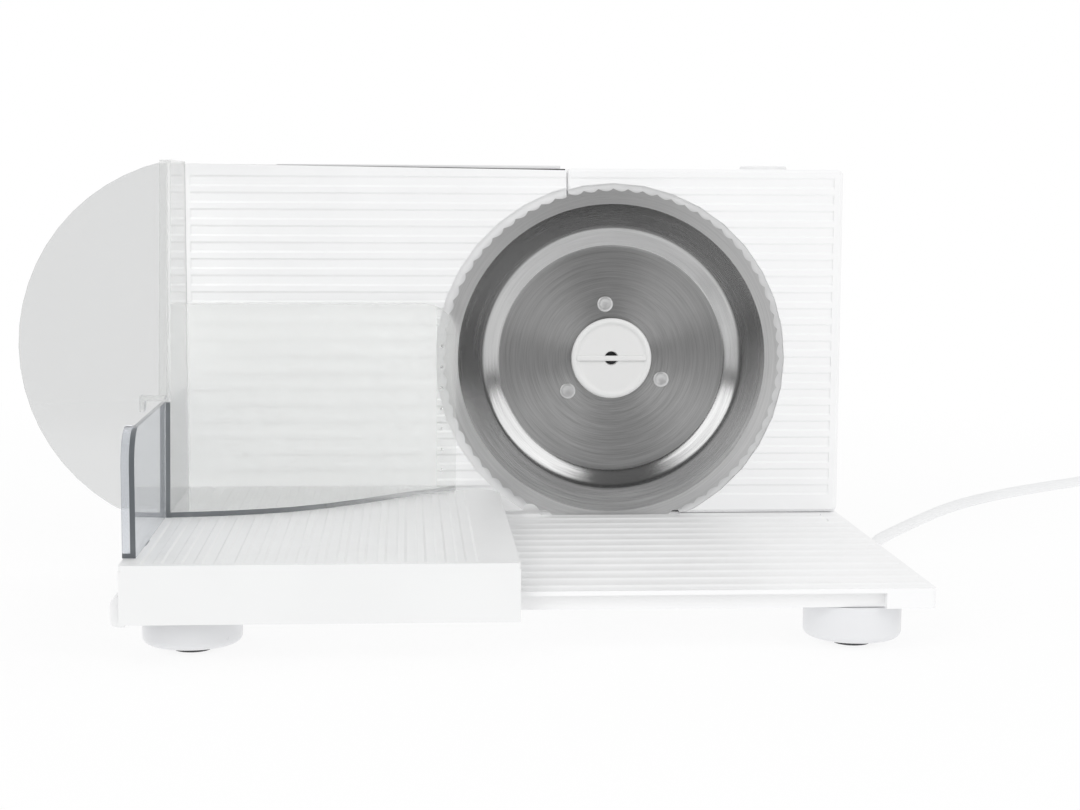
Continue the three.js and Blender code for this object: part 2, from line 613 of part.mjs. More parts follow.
// Gauge carrier: a frame behind the gauge plate that carries the two guide rods, with a bar
// along the top edge that stiffens the plate up to the housing
function makeGaugeCarrier() {
  const c = carrier;
  const soft = [guideRod.radius];
  const panel = pushed("y", rounded(carrierLeft, c.right, c.bottom, carrierTop, soft), carrierFront,
    carrierBack);
  const low = guideRod.height + guideRod.boss + wall;
  const window = pushed("y", rounded(carrierLeft + c.frame, c.right - c.frame, low,
    carrierTop - c.frame, soft),
    carrierFront - overrun, carrierBack + overrun);
  const middle = (carrierLeft + c.right) / 2;
  const stay = block(middle - c.frame / 2, middle + c.frame / 2, carrierFront, carrierBack,
    c.bottom + wall, carrierTop - wall);
  const bar = block(gaugeLeft + c.barInset, gaugeRight - wall, carrierFront, carrierBack,
    carrierTop - wall, gaugeLeftTop);
  const sweep = rod("y", 0, axisZ, arcRadius + wall, 0, carrierBack + overrun, counts.ring);
  let body = join(cut(panel, window), stay, cut(bar, sweep));
  for (const x of rodXs) {
    body = join(body, rod("y", x, guideRod.height, guideRod.boss, carrierFront,
      carrierBack + guideRod.bossLength));
  }
  const sockets = rodXs.map((x) => rod("y", x, guideRod.height, guideRod.radius + seatGap,
    carrierFront + wall, carrierBack + guideRod.bossLength + overrun));
  return cut(body, ...sockets);
}

function makeGuideRod(x) {
  return rod("y", x, guideRod.height, guideRod.radius, carrierFront + wall + seatGap, guideRod.end);
}

// Guide on the base: four bored blocks that the guide rods slide through
function makeGuide() {
  const g = guide;
  const back = g.second + g.block;
  let body = block(rodXs[0] - g.margin, rodXs[1] + g.margin, g.front, back, seatGap, seatGap + g.plate);
  for (const y of [g.front, g.second]) {
    for (const x of rodXs) {
      body = join(body, block(x - g.margin, x + g.margin, y, y + g.block, seatGap,
        guideRod.height + g.headroom));
    }
  }
  const bores = rodXs.map((x) => rod("y", x, guideRod.height, guideRod.radius + seatGap,
    g.front - overrun, back + overrun));
  return cut(body, ...bores);
}

// Follower: an arm from the carrier to the cam, with the pin that runs in the cam's groove
function makeFollower() {
  const f = follower;
  const right = cam.x - cam.radius - f.postGap;
  const arm = block(carrier.right - f.lap, right, followerFront, followerBack, f.bottom,
    f.bottom + f.height);
  const upright = block(right - f.post, right, followerFront, followerBack, f.bottom, camZ + f.head);
  const pin = rod("x", pinY, camZ, f.pinRadius, right - f.post / 2, cam.x - cam.radius + cam.pinDepth,
    counts.small);
  return join(arm, upright, pin);
}

// Barrel cam on the dial's shaft: its groove draws the follower back over the dial's turn
function makeCam() {
  const c = cam;
  const body = revolve("y", c.x, camZ, [
    [0, recessBack + seatGap], [c.shaft, recessBack + seatGap], [c.shaft, c.front],
    [c.radius, c.front], [c.radius, c.back], [c.shaft, c.back], [c.shaft, camShaftEnd],
    [0, camShaftEnd],
  ], counts.foot);
  const path = new THREE.Curve();
  const pathRadius = c.radius - c.grooveDepth + c.groove;
  const [from, to] = [-c.turnDeg - c.endDeg, c.endDeg];
  path.getPoint = (t, target = unit(0, 0, 0)) => {
    const turn = from + (to - from) * t;
    const a = radians(c.pinDeg + turn);
    const y = pinY - gauge.travel * turn / c.turnDeg;
    return target.set(c.x + pathRadius * Math.sin(a), y, camZ + pathRadius * Math.cos(a));
  };
  const ring = [];
  for (let i = 0; i < counts.groove; i += 1) {
    const a = 2 * Math.PI * i / counts.groove;
    ring.push([c.groove * Math.cos(a), c.groove * Math.sin(a)]);
  }
  const groove = new THREE.ExtrudeGeometry(outline(ring), { steps: counts.helix, extrudePath: path });
  return cut(body, solid(groove));
}

function scallopedCircle(x, z, radius, teeth, depth, shares) {
  const points = [];
  for (let i = 0; i < teeth; i += 1) {
    for (const [step, deep] of shares) {
      const a = 2 * Math.PI * (i + step) / teeth;
      const r = radius - depth * deep;
      points.push([x + r * Math.cos(a), z + r * Math.sin(a)]);
    }
  }
  return outline(points);
}

function makeDial() {
  const d = dial;
  const grip = pushed("y", scallopedCircle(cam.x, camZ, d.radius, d.flutes, d.flute, fluteShares),
    dialFront, dialBack);
  const rounding = revolve("y", cam.x, camZ, [
    [0, dialFront - overrun], [d.radius + overrun, dialFront - overrun],
    [d.radius + overrun, dialBack - d.edge - overrun],
    [d.radius - d.edge, dialBack], [0, dialBack],
  ], counts.ring);
  const recess = tube("y", cam.x, camZ, d.hub, d.radius - d.flute - 2 * d.edge, dialBack - d.recess,
    dialBack + overrun, counts.foot);
  const pointer = block(cam.x - d.ridge / 2, cam.x + d.ridge / 2, dialBack - d.recess - d.ridge / 2,
    dialBack,
    camZ, camZ + d.radius - d.flute - d.edge);
  const bore = rod("y", cam.x, camZ, cam.shaft + seatGap, dialFront - overrun, camShaftEnd + seatGap);
  return cut(join(cut(grip.intersect(rounding), recess), pointer), bore);
}

// Blade: a dished steel disc with a ground bevel and a scalloped edge
function makeBlade() {
  const b = blade;
  const reach = b.radius + b.spare;
  const disc = revolve("y", 0, axisZ, [
    [b.bore, dishY], [dishRadius, dishY], [bandInner, b.faceY], [bevelInner, b.faceY],
    [reach, b.tipY], [reach, b.tipY + b.tipThickness], [bevelInner, b.faceY + b.sheet],
    [bandInner, b.faceY + b.sheet], [dishRadius, dishY + b.sheet], [b.bore, dishY + b.sheet],
    [b.bore, dishY],
  ], counts.ring);
  const edge = pushed("y", scallopedCircle(0, axisZ, b.radius, b.teeth, b.scallop, scallopShares),
    b.faceY - overrun, dishY + b.sheet + overrun);
  const holes = rivetPlaces.map(([x, z]) => rod("y", x, z, rivet.shank + seatGap, dishY - overrun,
    hubBack, counts.small));
  return cut(disc.intersect(edge), ...holes);
}

function makeHub() {
  const disc = tube("y", 0, axisZ, knob.tail + seatGap, hub.radius, hubFront, hubBack, counts.foot);
  return cut(disc, ...rivetPlaces.map(([x, z]) =>
    rod("y", x, z, rivet.shank + seatGap, hubFront - overrun, hubBack + overrun, counts.small)));
}

function makeRivet([x, z]) {
  const face = dishY - seatGap;
  const top = face - rivet.headHeight;
  return revolve("y", x, z, [
    [0, top], [rivet.head - rivet.headHeight, top], [rivet.head, face - rivet.headHeight * crownShare],
    [rivet.head, face], [rivet.shank, face], [rivet.shank, hubBack], [0, hubBack],
  ], counts.small);
}

// Knob that locks the blade: a shallow disc with a raised rim, a grip bar and a centre hole
function makeKnob() {
  const k = knob;
  const back = dishY - seatGap;
  const front = back - k.thickness;
  const floor = front + k.recess;
  const inner = k.radius - k.rim;
  const disc = revolve("y", 0, axisZ, [
    [0, floor], [inner - k.recess, floor], [inner, front], [inner + k.rim / 2, front],
    [k.radius, floor], [k.radius, back], [k.tail, back], [k.tail, hubBack], [0, hubBack],
  ], counts.foot);
  const bar = block(-inner, inner, front, floor + seatGap, axisZ - k.bar / 2, axisZ + k.bar / 2);
  const hole = rod("y", 0, axisZ, k.hole, floor - overrun, floor + k.holeDepth, counts.rod);
  const socket = rod("y", 0, axisZ, spindle.radius + seatGap, spindle.front - seatGap,
    hubBack + overrun);
  return join(cut(disc, hole, socket), bar);
}

function makeBush(from, to) {
  return tube("y", 0, axisZ, spindle.radius + bush.clearance, bush.outer - seatGap, from, to);
}

// Worm wheel: its teeth lean with the worm's thread, and a gap faces the worm at rest
function makeWheel() {
  const w = wheel;
  const r = wheelPitchRadius;
  const tip = r + w.module * addendumShare;
  const root = r - w.module * dedendumShare;
  const [tipShare, rootShare] = toothShares;
  const points = [];
  for (let i = 0; i < w.teeth; i += 1) {
    const middle = Math.PI / 2 + 2 * Math.PI * (i + halfShare) / w.teeth;
    for (const [side, radius] of [[-rootShare, root], [-tipShare, tip], [tipShare, tip],
      [rootShare, root]]) {
      const a = middle + 2 * Math.PI * side / w.teeth;
      points.push([radius * Math.cos(a), radius * Math.sin(a)]);
    }
  }
  const gear = new THREE.ExtrudeGeometry(outline(points), { depth: w.face, bevelEnabled: false });
  gear.translate(0, 0, -w.face / 2);
  gear.applyMatrix4(turned.y);
  const lean = w.module / 2 / worm.pitchRadius / r;
  const p = gear.attributes.position;
  for (let i = 0; i < p.count; i += 1) {
    const [x, y, z] = [p.getX(i), p.getY(i), p.getZ(i)];
    const a = y * lean;
    p.setXYZ(i, x * Math.cos(a) + z * Math.sin(a), y, z * Math.cos(a) - x * Math.sin(a));
  }
  gear.translate(0, w.middle, axisZ);
  const [front, back] = [w.middle - w.face / 2, w.middle + w.face / 2];
  const boss = rod("y", 0, axisZ, w.boss, front - overrun, back + overrun);
  const lightening = tube("y", 0, axisZ, w.boss, root - wall, front + w.web, back + overrun);
  const bore = rod("y", 0, axisZ, spindle.radius + seatGap, front - w.face, back + w.face);
  return cut(join(cut(solid(gear), lightening), boss), bore);
}

// Worm: a single right-hand thread wound on a core
function makeWorm() {
  const w = worm;
  const lead = Math.PI * wheel.module;
  const [low, high] = [w.left / lead + 1 / 2, w.right / lead - 1 / 2];
  const steps = Math.round((high - low) * counts.worm);
  const [halfCrest, halfRoot] = threadShares.map((share) => lead * share);
  const inner = w.rootRadius - seatGap;
  const rings = [];
  for (let i = 0; i <= steps; i += 1) {
    const turn = low + (high - low) * i / steps;
    const a = 2 * Math.PI * turn - Math.PI / 2;
    const section = [[inner, -halfRoot], [w.outerRadius, -halfCrest], [w.outerRadius, halfCrest],
      [inner, halfRoot]];
    rings.push(section.map(([r, off]) => [lead * turn + off, motorY + r * Math.cos(a),
      motorZ + r * Math.sin(a)]));
  }
  const core = rod("x", motorY, motorZ, w.rootRadius, w.left, w.right);
  const bore = rod("x", motorY, motorZ, motor.shaftRadius + seatGap, w.left - overrun,
    w.right + overrun);
  return cut(join(core, loft(rings)), bore);
}

function makeArmatureCore() {
  const m = motor;
  const end = coreRight + m.commutatorLength;
  const bore = m.shaftRadius + seatGap;
  return revolve("x", motorY, motorZ, [
    [bore, coreLeft], [m.armatureRadius, coreLeft], [m.armatureRadius, coreRight],
    [m.commutatorRadius, coreRight], [m.commutatorRadius, end], [bore, end], [bore, coreLeft],
  ], counts.foot);
}

function makeFan() {
  const m = motor;
  const left = coreLeft - m.fanOffset - m.fanWidth;
  const middle = (m.bearingRadius + m.fanRadius) / 2;
  let body = tube("x", motorY, motorZ, m.shaftRadius + seatGap, m.bearingRadius, left,
    left + m.fanWidth);
  body = join(body, tube("x", motorY, motorZ, m.shaftRadius + wall, m.fanRadius, left,
    left + m.fanBlade, counts.foot));
  for (let i = 0; i < m.fanBlades; i += 1) {
    const vane = new THREE.BoxGeometry(m.fanWidth, m.fanRadius - m.bearingRadius, m.fanBlade);
    vane.translate(left + m.fanWidth / 2, middle - seatGap, 0);
    vane.rotateX(2 * Math.PI * i / m.fanBlades);
    body = join(body, solid(vane.translate(0, motorY, motorZ)));
  }
  return body;
}

function makeField() {
  const m = motor;
  const ring = tube("x", motorY, motorZ, m.fieldInner, m.fieldRadius, coreLeft, coreRight, counts.foot);
  const reach = m.fieldInner + overrun;
  const poles = block(coreLeft, coreRight, motorY - m.poleHalf, motorY + m.poleHalf, motorZ - reach,
    motorZ + reach);
  const bore = rod("x", motorY, motorZ, m.poleBore, coreLeft - overrun, coreRight + overrun,
    counts.foot);
  return cut(join(ring, poles), bore);
}

// End bracket of the motor: a bell that meets the field core, with windows and a bearing boss
function makeBracket(coreEnd, away, depth) {
  const m = motor;
  const along = (a, b) => (away > 0 ? [coreEnd + a, coreEnd + b] : [coreEnd - b, coreEnd - a]);
  const [lo, hi] = along(seatGap, depth);
  const [spaceLo, spaceHi] = along(0, depth - m.bracketWall);
  const [windowLo, windowHi] = along(m.bracketWall + seatGap, depth - m.bracketWall);
  const [bossLo, bossHi] = along(depth - m.bracketWall, depth + m.bearingLength);
  const bell = rod("x", motorY, motorZ, m.fieldRadius, lo, hi, counts.foot);
  const space = rod("x", motorY, motorZ, m.fieldRadius - m.bracketWall, spaceLo, spaceHi, counts.foot);
  const boss = rod("x", motorY, motorZ, m.bearingRadius, bossLo, bossHi);
  const bore = rod("x", motorY, motorZ, m.shaftRadius + seatGap, bossLo - depth, bossHi + depth);
  const [half, far] = [m.windowWidth / 2, m.fieldRadius + overrun];
  const upDown = block(windowLo, windowHi, motorY - half, motorY + half, motorZ - far, motorZ + far);
  const frontBack = block(windowLo, windowHi, motorY - far, motorY + far, motorZ - half, motorZ + half);
  return cut(join(cut(bell, space, upDown, frontBack), boss), bore);
}

function makeEndBush() {
  return tube("x", motorY, motorZ, motor.shaftRadius + bush.clearance, endBush.outer - seatGap,
    housing.left + wall + seatGap, worm.left - endBush.gap);
}

function makeGearPlate() {
  const g = gearPlate;
  const back = g.front + g.thickness;
  const panel = pushed("y", rounded(g.left, g.right, plateBottom, plateTop, [g.corner]), g.front, back);
  const boss = rod("y", 0, axisZ, bush.outer + wall, bush.rearStart, bush.rearEnd);
  const bore = rod("y", 0, axisZ, bush.outer, bush.rearStart - overrun, bush.rearEnd + overrun);
  const holes = platePostPlaces.map(([x, z]) => rod("y", x, z, post.pilot, g.front - overrun,
    back + overrun, counts.small));
  return cut(join(panel, boss), bore, ...holes);
}

// Power button on top of the housing, with its switch and its return spring
function makePowerButton() {
  const b = button;
  const top = housingTop + b.proud;
  const stemEnd = buttonUnderside - b.stemLength;
  return revolve("z", buttonX, b.y, [
    [0, stemEnd], [b.stem, stemEnd], [b.stem, buttonUnderside], [b.radius + b.flange, buttonUnderside],
    [b.radius + b.flange, buttonCeiling], [b.radius, buttonCeiling], [b.radius, top - b.crown],
    [b.radius - b.crown, top - b.crown * crownShare], [b.radius * halfShare, top], [0, top],
  ], counts.foot);
}

function makePowerSwitch() {
  const s = powerSwitch;
  const body = block(buttonX - s.length / 2, buttonX + s.length / 2, button.y - s.width / 2,
    button.y + s.width / 2, shelfTop + seatGap, switchTop);
  return join(body, rod("z", buttonX, button.y, s.plunger, switchTop - overrun,
    switchTop + s.plungerHeight, counts.small));
}

function makeButtonSpring() {
  const s = spring;
  const low = switchTop + seatGap + s.wire;
  const high = buttonUnderside - seatGap - s.wire;
  const steps = s.turns * s.stepsPerTurn;
  const rings = [];
  for (let i = 0; i <= steps; i += 1) {
    const a = 2 * Math.PI * i / s.stepsPerTurn;
    const z = low + (high - low) * i / steps;
    const ring = [];
    for (let j = 0; j < s.sides; j += 1) {
      const b = 2 * Math.PI * j / s.sides;
      const r = s.radius + s.wire * Math.cos(b);
      ring.push([buttonX + r * Math.cos(a), button.y + r * Math.sin(a), z + s.wire * Math.sin(b)]);
    }
    rings.push(ring);
  }
  return loft(rings);
}

function makeLockButton() {
  const l = lock;
  const inner = housing.back - 2 * wall - seatGap;
  const outer = housing.back + l.proud;
  return revolve("y", buttonX, lockZ, [
    [0, inner - l.depth], [l.stem, inner - l.depth], [l.stem, inner - l.flangeHeight],
    [l.radius + l.flange, inner - l.flangeHeight], [l.radius + l.flange, inner], [l.radius, inner],
    [l.radius, outer - button.crown], [l.radius - button.crown, outer], [0, outer],
  ]);
}

function makeCoverScrew([x, z]) {
  const top = coverSeat + screw.headHeight;
  const body = revolve("y", x, z, [
    [0, coverSeat - screw.coverLength], [screw.shank, coverSeat - screw.coverLength],
    [screw.shank, coverSeat],
    [screw.head, coverSeat], [screw.head, top - screw.slot], [screw.head - screw.slot, top], [0, top],
  ], counts.small);
  const reach = screw.head + overrun;
  const half = screw.slot / 2;
  return cut(body, block(x - reach, x + reach, top - screw.slot, top + overrun, z - half, z + half));
}

function makeBaseScrew(x) {
  const end = baseSeat + screw.baseLength;
  return revolve("z", x, baseScrewY, [
    [0, baseSeat - screw.headHeight], [screw.head, baseSeat - screw.headHeight], [screw.head, baseSeat],
    [screw.shank, baseSeat], [screw.shank, end], [0, end],
  ], counts.small);
}

// Carriage: a ribbed tray that slides along the rail lip of the base. A tongue on its front
// skirt reaches under the lip.
function makeCarriage() {
  const c = carriage;
  const floor = base.ribHeight + c.ribGap;
  const r = c.smallCorner;
  const outer = pushed("z", rounded(carriageLeft, carriageRight, carriageFront, c.back,
    [r, r, c.corner, r]), floor, c.top);
  const inner = pushed("z", rounded(carriageLeft + wall, carriageRight - wall, carriageFront + wall,
    c.back - wall, [0, 0, c.corner - wall, 0]),
    0, c.top - wall);
  const skirt = block(carriageLeft, carriageRight, carriageFront, carriageFront + wall, c.skirtBottom,
    c.top - wall);
  const tongueTop = -base.lipThickness - slideGap;
  const tongue = block(carriageLeft + c.tongueLeft, carriageRight - c.tongueRight,
    carriageFront + wall / 2,
    base.front + base.lipReach - slideGap, tongueTop - c.tongueThickness, tongueTop);
  const count = Math.floor((carriageRight - carriageLeft - 2 * c.ribMargin) / ribs.pitch);
  const points = comb(c.top, -1, carriageLeft + c.ribMargin, count, 1).map(([z, x]) => [x, z]);
  const grooves = pushed("y", outline(points), carriageFront + c.frontMargin, c.back + overrun);
  const slots = guardTabs().map((y) => block(guardLeft - seatGap, guardRight + seatGap,
    y - seatGap, y + guard.tabWidth + seatGap, 0, c.top + overrun));
  return cut(join(cut(outer, inner), skirt, tongue), grooves, ...slots);
}

function guardTabs() {
  return [guardNear + guard.tabInset, guard.far - guard.tabInset - guard.tabWidth];
}

// Thumb guard: an upright clear wall along the left end of the carriage, with a flange along
// its near edge
function makeThumbGuard() {
  const g = guard;
  const profile = rounded(guardNear, g.far, deckZ, g.top, [0, 0, g.farCorner, g.nearCorner]);
  const within = rounded(guardNear + g.thickness, g.far + overrun, deckZ - overrun, g.top - g.thickness,
    [0, 0, 0, g.nearCorner - g.thickness]);
  const band = cut(pushed("x", profile, guardLeft - g.flange, guardRight),
    pushed("x", within, guardLeft - g.flange - overrun, guardRight + overrun));
  const reach = block(guardLeft - g.flange, guardRight, guardNear,
    guardNear + g.nearCorner * bandShare, deckZ, g.top);
  const tabs = guardTabs().map((y) => block(guardLeft, guardRight, y, y + g.tabWidth,
    deckZ - g.tabDepth, deckZ + g.thickness));
  return join(pushed("x", profile, guardLeft, guardRight), band.intersect(reach), ...tabs);
}

// Pusher: one clear moulding. The half-round shield and the spiked plate lie in one plane, and
// the tall wall stands square to them and hooks over the thumb guard.
function makePusher() {
  const p = pusher;
  const back = p.faceY;
  const nearLine = [[p.nearBottom, deckZ], [p.nearHook, hookTop], [p.nearTop, p.top]];
  const side = pushed("x", outline([...nearLine, [back, p.top], [back, deckZ]]), pusherLeft,
    pusherRight);
  const disc = rod("y", shieldX, p.shieldZ, p.shieldRadius, pusherFront, back, counts.shield);
  const leftPart = block(shieldX - 2 * p.shieldRadius, pusherRight, pusherFront, back, p.shieldBottom,
    p.top);
  const overGuard = block(guardLeft - slideGap, pusherLeft, pusherFront - overrun, back + overrun, 0,
    hookBottom);
  const overDeck = block(carriageLeft - slideGap, pusherRight + overrun, pusherFront - overrun,
    back + overrun, 0, deckZ);
  const shield = cut(disc.intersect(leftPart), overGuard, overDeck);
  const plate = pushed("y", rounded(pusherLeft, pusherPlateRight, deckZ, p.plateTop,
    [0, 0, p.plateCorner, 0]), pusherFront, back);
  const stripFront = pusherFront - p.stripProud;
  const strip = block(pusherPlateRight - p.strip, pusherPlateRight, stripFront, back, deckZ,
    p.plateTop - p.plateCorner);
  const [wide, deep] = [pusherPlateRight - pusherLeft, stripFront - p.nearBottom];
  const edge = new THREE.SplineCurve(floorShares.map(([a, b]) =>
    new THREE.Vector2(pusherPlateRight - a * wide, stripFront - b * deep))).getPoints(counts.floorEdge);
  const floor = pushed("z",
    outline([...edge.map((v) => [v.x, v.y]), [pusherLeft, back], [pusherPlateRight, back]]),
    deckZ, deckZ + p.floorThickness);
  const flange = pushed("x", outline([
    nearLine[1], [p.nearHook + p.sheet, hookTop], [p.nearTop + p.sheet, p.top], nearLine[2],
  ]), pusherLeft - p.flange, pusherRight);
  const rim = block(pusherLeft - p.flange, pusherRight, p.nearTop, back, p.top - p.wallThickness,
    p.top);
  const hookLeft = pusherLeft - p.hookReach;
  const hookBack = p.nearHook + p.hookLength;
  const hook = block(hookLeft, pusherRight, p.nearHook, hookBack, hookBottom, hookTop);
  const lip = block(hookLeft, hookLeft + p.wallThickness, p.nearHook, hookBack,
    hookBottom - p.hookLip, hookTop);
  return join(side, shield, plate, strip, floor, flange, rim, hook, lip, ...makeSpikes());
}

function makeSpikes() {
  const p = pusher;
  const cones = [];
  const columns = Math.floor((pusherPlateRight - pusherRight - spike.marginX) / spike.pitch);
  const rows = Math.floor((p.plateTop - deckZ - spike.marginTop - spike.marginBottom) / spike.pitch);
  for (let i = 0; i < columns; i += 1) {
    for (let j = 0; j < rows; j += 1) {
      const x = pusherPlateRight - spike.marginX / 2 - i * spike.pitch;
      const z = deckZ + spike.marginBottom + (j + (i % 2) / 2) * spike.pitch;
      cones.push(revolve("y", x, z, [
        [0, p.faceY - spike.radius], [spike.radius, p.faceY - spike.radius],
        [spike.radius, p.faceY], [0, p.faceY + spike.length],
      ], counts.spike));
    }
  }
  return cones;
}

// Mains lead: a grip and a strain relief under the base, a free run, a coil and a plug
function makeCordGrip() {
  const g = cordGrip;
  const right = g.left + g.length;
  const body = block(g.left, right, cord.exitY - g.width / 2, cord.exitY + g.width / 2, -g.bottom,
    -base.skin - seatGap);
  const bore = relief.startRadius - relief.ribDepth;
  return cut(body, rod("x", cord.exitY, cord.exitHeight, bore, g.left + wall, right + overrun));
}

function makeStrainRelief() {
  const r = relief;
  const start = cordGrip.left + cordGrip.length + seatGap;
  const root = r.startRadius - r.ribDepth - seatGap;
  const inside = cordGrip.left + 2 * wall;
  const points = [[0, inside], [root, inside], [root, start], [r.startRadius, start]];
  const step = r.length / (r.ribs + 1);
  for (let i = 1; i <= r.ribs; i += 1) {
    const radius = r.startRadius + (r.endRadius - r.startRadius) * i / (r.ribs + 1);
    const at = start + i * step;
    points.push([radius, at - r.ribGap], [radius - r.ribDepth, at - r.ribGap]);
    points.push([radius - r.ribDepth, at], [radius, at]);
  }
  points.push([r.endRadius, start + r.length], [0, start + r.length]);
  return revolve("x", cord.exitY, cord.exitHeight, points);
}

// The run's points, chosen by hand, from the strain relief to the start of the coil
function cordRoute() {
  const start = cordGrip.left + cordGrip.length + relief.length + 2 * seatGap;
  const first = coilPoint(0);
  const tangent = coilPoint(probeShare).sub(first).normalize();
  const end = first.clone().addScaledVector(tangent, -cord.diameter - seatGap);
  const nearEnd = end.clone().addScaledVector(tangent, -2 * cord.diameter);
  return [
    unit(start, cord.exitY, cord.exitHeight),
    unit(118, 10.2, -15.2), unit(127.6, 14, -18.6), unit(137, 23.4, -22.6),
    unit(144.4, 38.7, lieZ), unit(151.7, 55.4, lieZ), unit(160.8, 72, lieZ), unit(171.8, 90.1, lieZ),
    unit(183.7, 109.2, lieZ), unit(197.2, 130.4, lieZ), unit(211.2, 151.3, lieZ),
    unit(228.5, 174.2, lieZ), unit(248, 195.9, lieZ), unit(274, 220.3, lieZ), unit(303, 244, lieZ),
    unit(331.2, 264.8, lieZ), unit(355.4, 284.1, lieZ),
    nearEnd, end,
  ];
}

function makeCordRun() {
  const curve = new THREE.CatmullRomCurve3(cordRoute(), false, "centripetal");
  const ring = [];
  for (let i = 0; i < counts.cord; i += 1) {
    const a = 2 * Math.PI * i / counts.cord;
    ring.push([cord.diameter / 2 * Math.cos(a), cord.diameter / 2 * Math.sin(a)]);
  }
  return solid(new THREE.ExtrudeGeometry(outline(ring),
    { steps: counts.cordSteps, extrudePath: curve }));
}

// The coil spirals in on its lower layer, climbs in half a turn, and spirals out on top
function coilPoint(turn) {
  const n = coil.turnsPerLayer;
  const outer = coil.middleRadius + coilPitch * n / 2;
  const inner = outer - coilPitch * n;
  const climb = THREE.MathUtils.clamp((turn - n) / halfShare, 0, 1);
  let radius = outer - coilPitch * turn;
  if (turn > n) radius = inner - coil.dip * Math.sin(Math.PI * climb);
  if (turn > n + halfShare) radius = inner + coilPitch * (turn - n - halfShare);
  const rise = climb * climb * (3 - 2 * climb);
  const a = radians(coil.startDeg) - 2 * Math.PI * turn;
  return unit(coil.x + radius * Math.cos(a), coil.y + radius * Math.sin(a), lieZ + rise * coilPitch);
}

// The coil's points. Its start runs straight for one diameter, and its end runs straight down
// to the plug, which lies on the table.
function coilPoints() {
  const turns = 2 * coil.turnsPerLayer + halfShare;
  const steps = Math.round(turns * counts.coilSteps);
  const points = [];
  for (let i = 0; i <= steps; i += 1) points.push(coilPoint(turns * i / steps));
  const before = points[0].clone().sub(coilPoint(probeShare)).normalize();
  const after = points[steps].clone().sub(coilPoint(turns - probeShare)).normalize();
  const drop = lieZ + coilPitch - tableZ - plug.thickness / 2 - cord.lift;
  after.z = -Math.tan(Math.asin(drop / (coil.tail + seatGap + plug.length)));
  after.normalize();
  const start = points[0].clone().addScaledVector(before, cord.diameter);
  const end = points[steps].clone().addScaledVector(after, coil.tail);
  return [start, ...points, end];
}

function makeCoil() {
  const points = coilPoints();
  const rings = points.map((point, i) => {
    const ahead = points[Math.min(i + 1, points.length - 1)];
    const behind = points[Math.max(i - 1, 0)];
    const along = ahead.clone().sub(behind).normalize();
    const side = along.clone().cross(unit(0, 0, 1)).normalize();
    const over = side.clone().cross(along);
    const ring = [];
    for (let j = 0; j < counts.coilSides; j += 1) {
      const a = 2 * Math.PI * (j + halfShare) / counts.coilSides;
      const across = cord.diameter / 2 * Math.cos(a);
      const up = cord.diameter / 2 * Math.sin(a);
      ring.push(point.clone().addScaledVector(side, across).addScaledVector(over, up).toArray());
    }
    return ring;
  });
  return loft(rings);
}

function leastCoilGap() {
  const points = coilPoints();
  const apart = counts.coilSteps / 2;
  let least = Infinity;
  for (let i = 0; i < points.length; i += 1) {
    for (let j = i + apart; j < points.length; j += 1) least = Math.min(least,
      points[i].distanceTo(points[j]));
  }
  return least - cord.diameter;
}

// The plug's pieces are drawn along X from its neck, then laid at the end of the coil
function layPlug(node) {
  const points = coilPoints();
  const end = points[points.length - 1];
  const along = end.clone().sub(points[points.length - 2]).normalize();
  const side = unit(0, 0, 1).cross(along).normalize();
  const place = new THREE.Matrix4().makeBasis(along, side, along.clone().cross(side));
  place.setPosition(end.clone().addScaledVector(along, seatGap));
  node.applyMatrix4(place);
}

function makePlugBody() {
  const p = plug;
  const half = p.width / 2;
  const [waist, shoulder] = plugShares.map((share) => share * p.length);
  const shape = outline([
    [0, -p.neck / 2], [waist, -p.neck / 2 - p.nose], [shoulder, -half], [p.length, -half],
    [p.length, half], [shoulder, half], [waist, p.neck / 2 + p.nose], [0, p.neck / 2],
  ]);
  const holes = [-1, 1].map((side) => rod("x", side * p.pinSpacing / 2, 0, p.pinRadius + seatGap,
    p.length - p.pinRoot - seatGap, p.length + overrun, counts.small));
  return cut(pushed("z", shape, -p.thickness / 2, p.thickness / 2, p.nose * halfShare), ...holes);
}

function makePlugPin(side) {
  const p = plug;
  const end = p.length + p.pinLength;
  return revolve("x", side * p.pinSpacing / 2, 0, [
    [0, p.length - p.pinRoot], [p.pinRadius, p.length - p.pinRoot], [p.pinRadius, end - p.pinRadius],
    [p.pinRadius * halfShare, end], [0, end],
  ], counts.small);
}

// Colours
const white = () => plastic(0xf7f7f6, 0.35);
const warmWhite = () => plastic(0xf2f2f0, 0.45);
const steel = () => metal(0xb9bbbc, 0.35);
const darkSteel = () => metal(0x77797c, 0.5);
const brass = () => metal(0xc9a55a, 0.4);

// Base, rail and feet
piece("base_platform", makeBase(), white());
piece("rail_end_cap", makeRailCap(), white());
for (const [where, place] of Object.entries(footPlaces)) {
  piece(`foot_${where}`, makeFoot(place), white());
  piece(`foot_pad_${where}`, makePad(place), plastic(0x4c4c4e, 0.85));
}

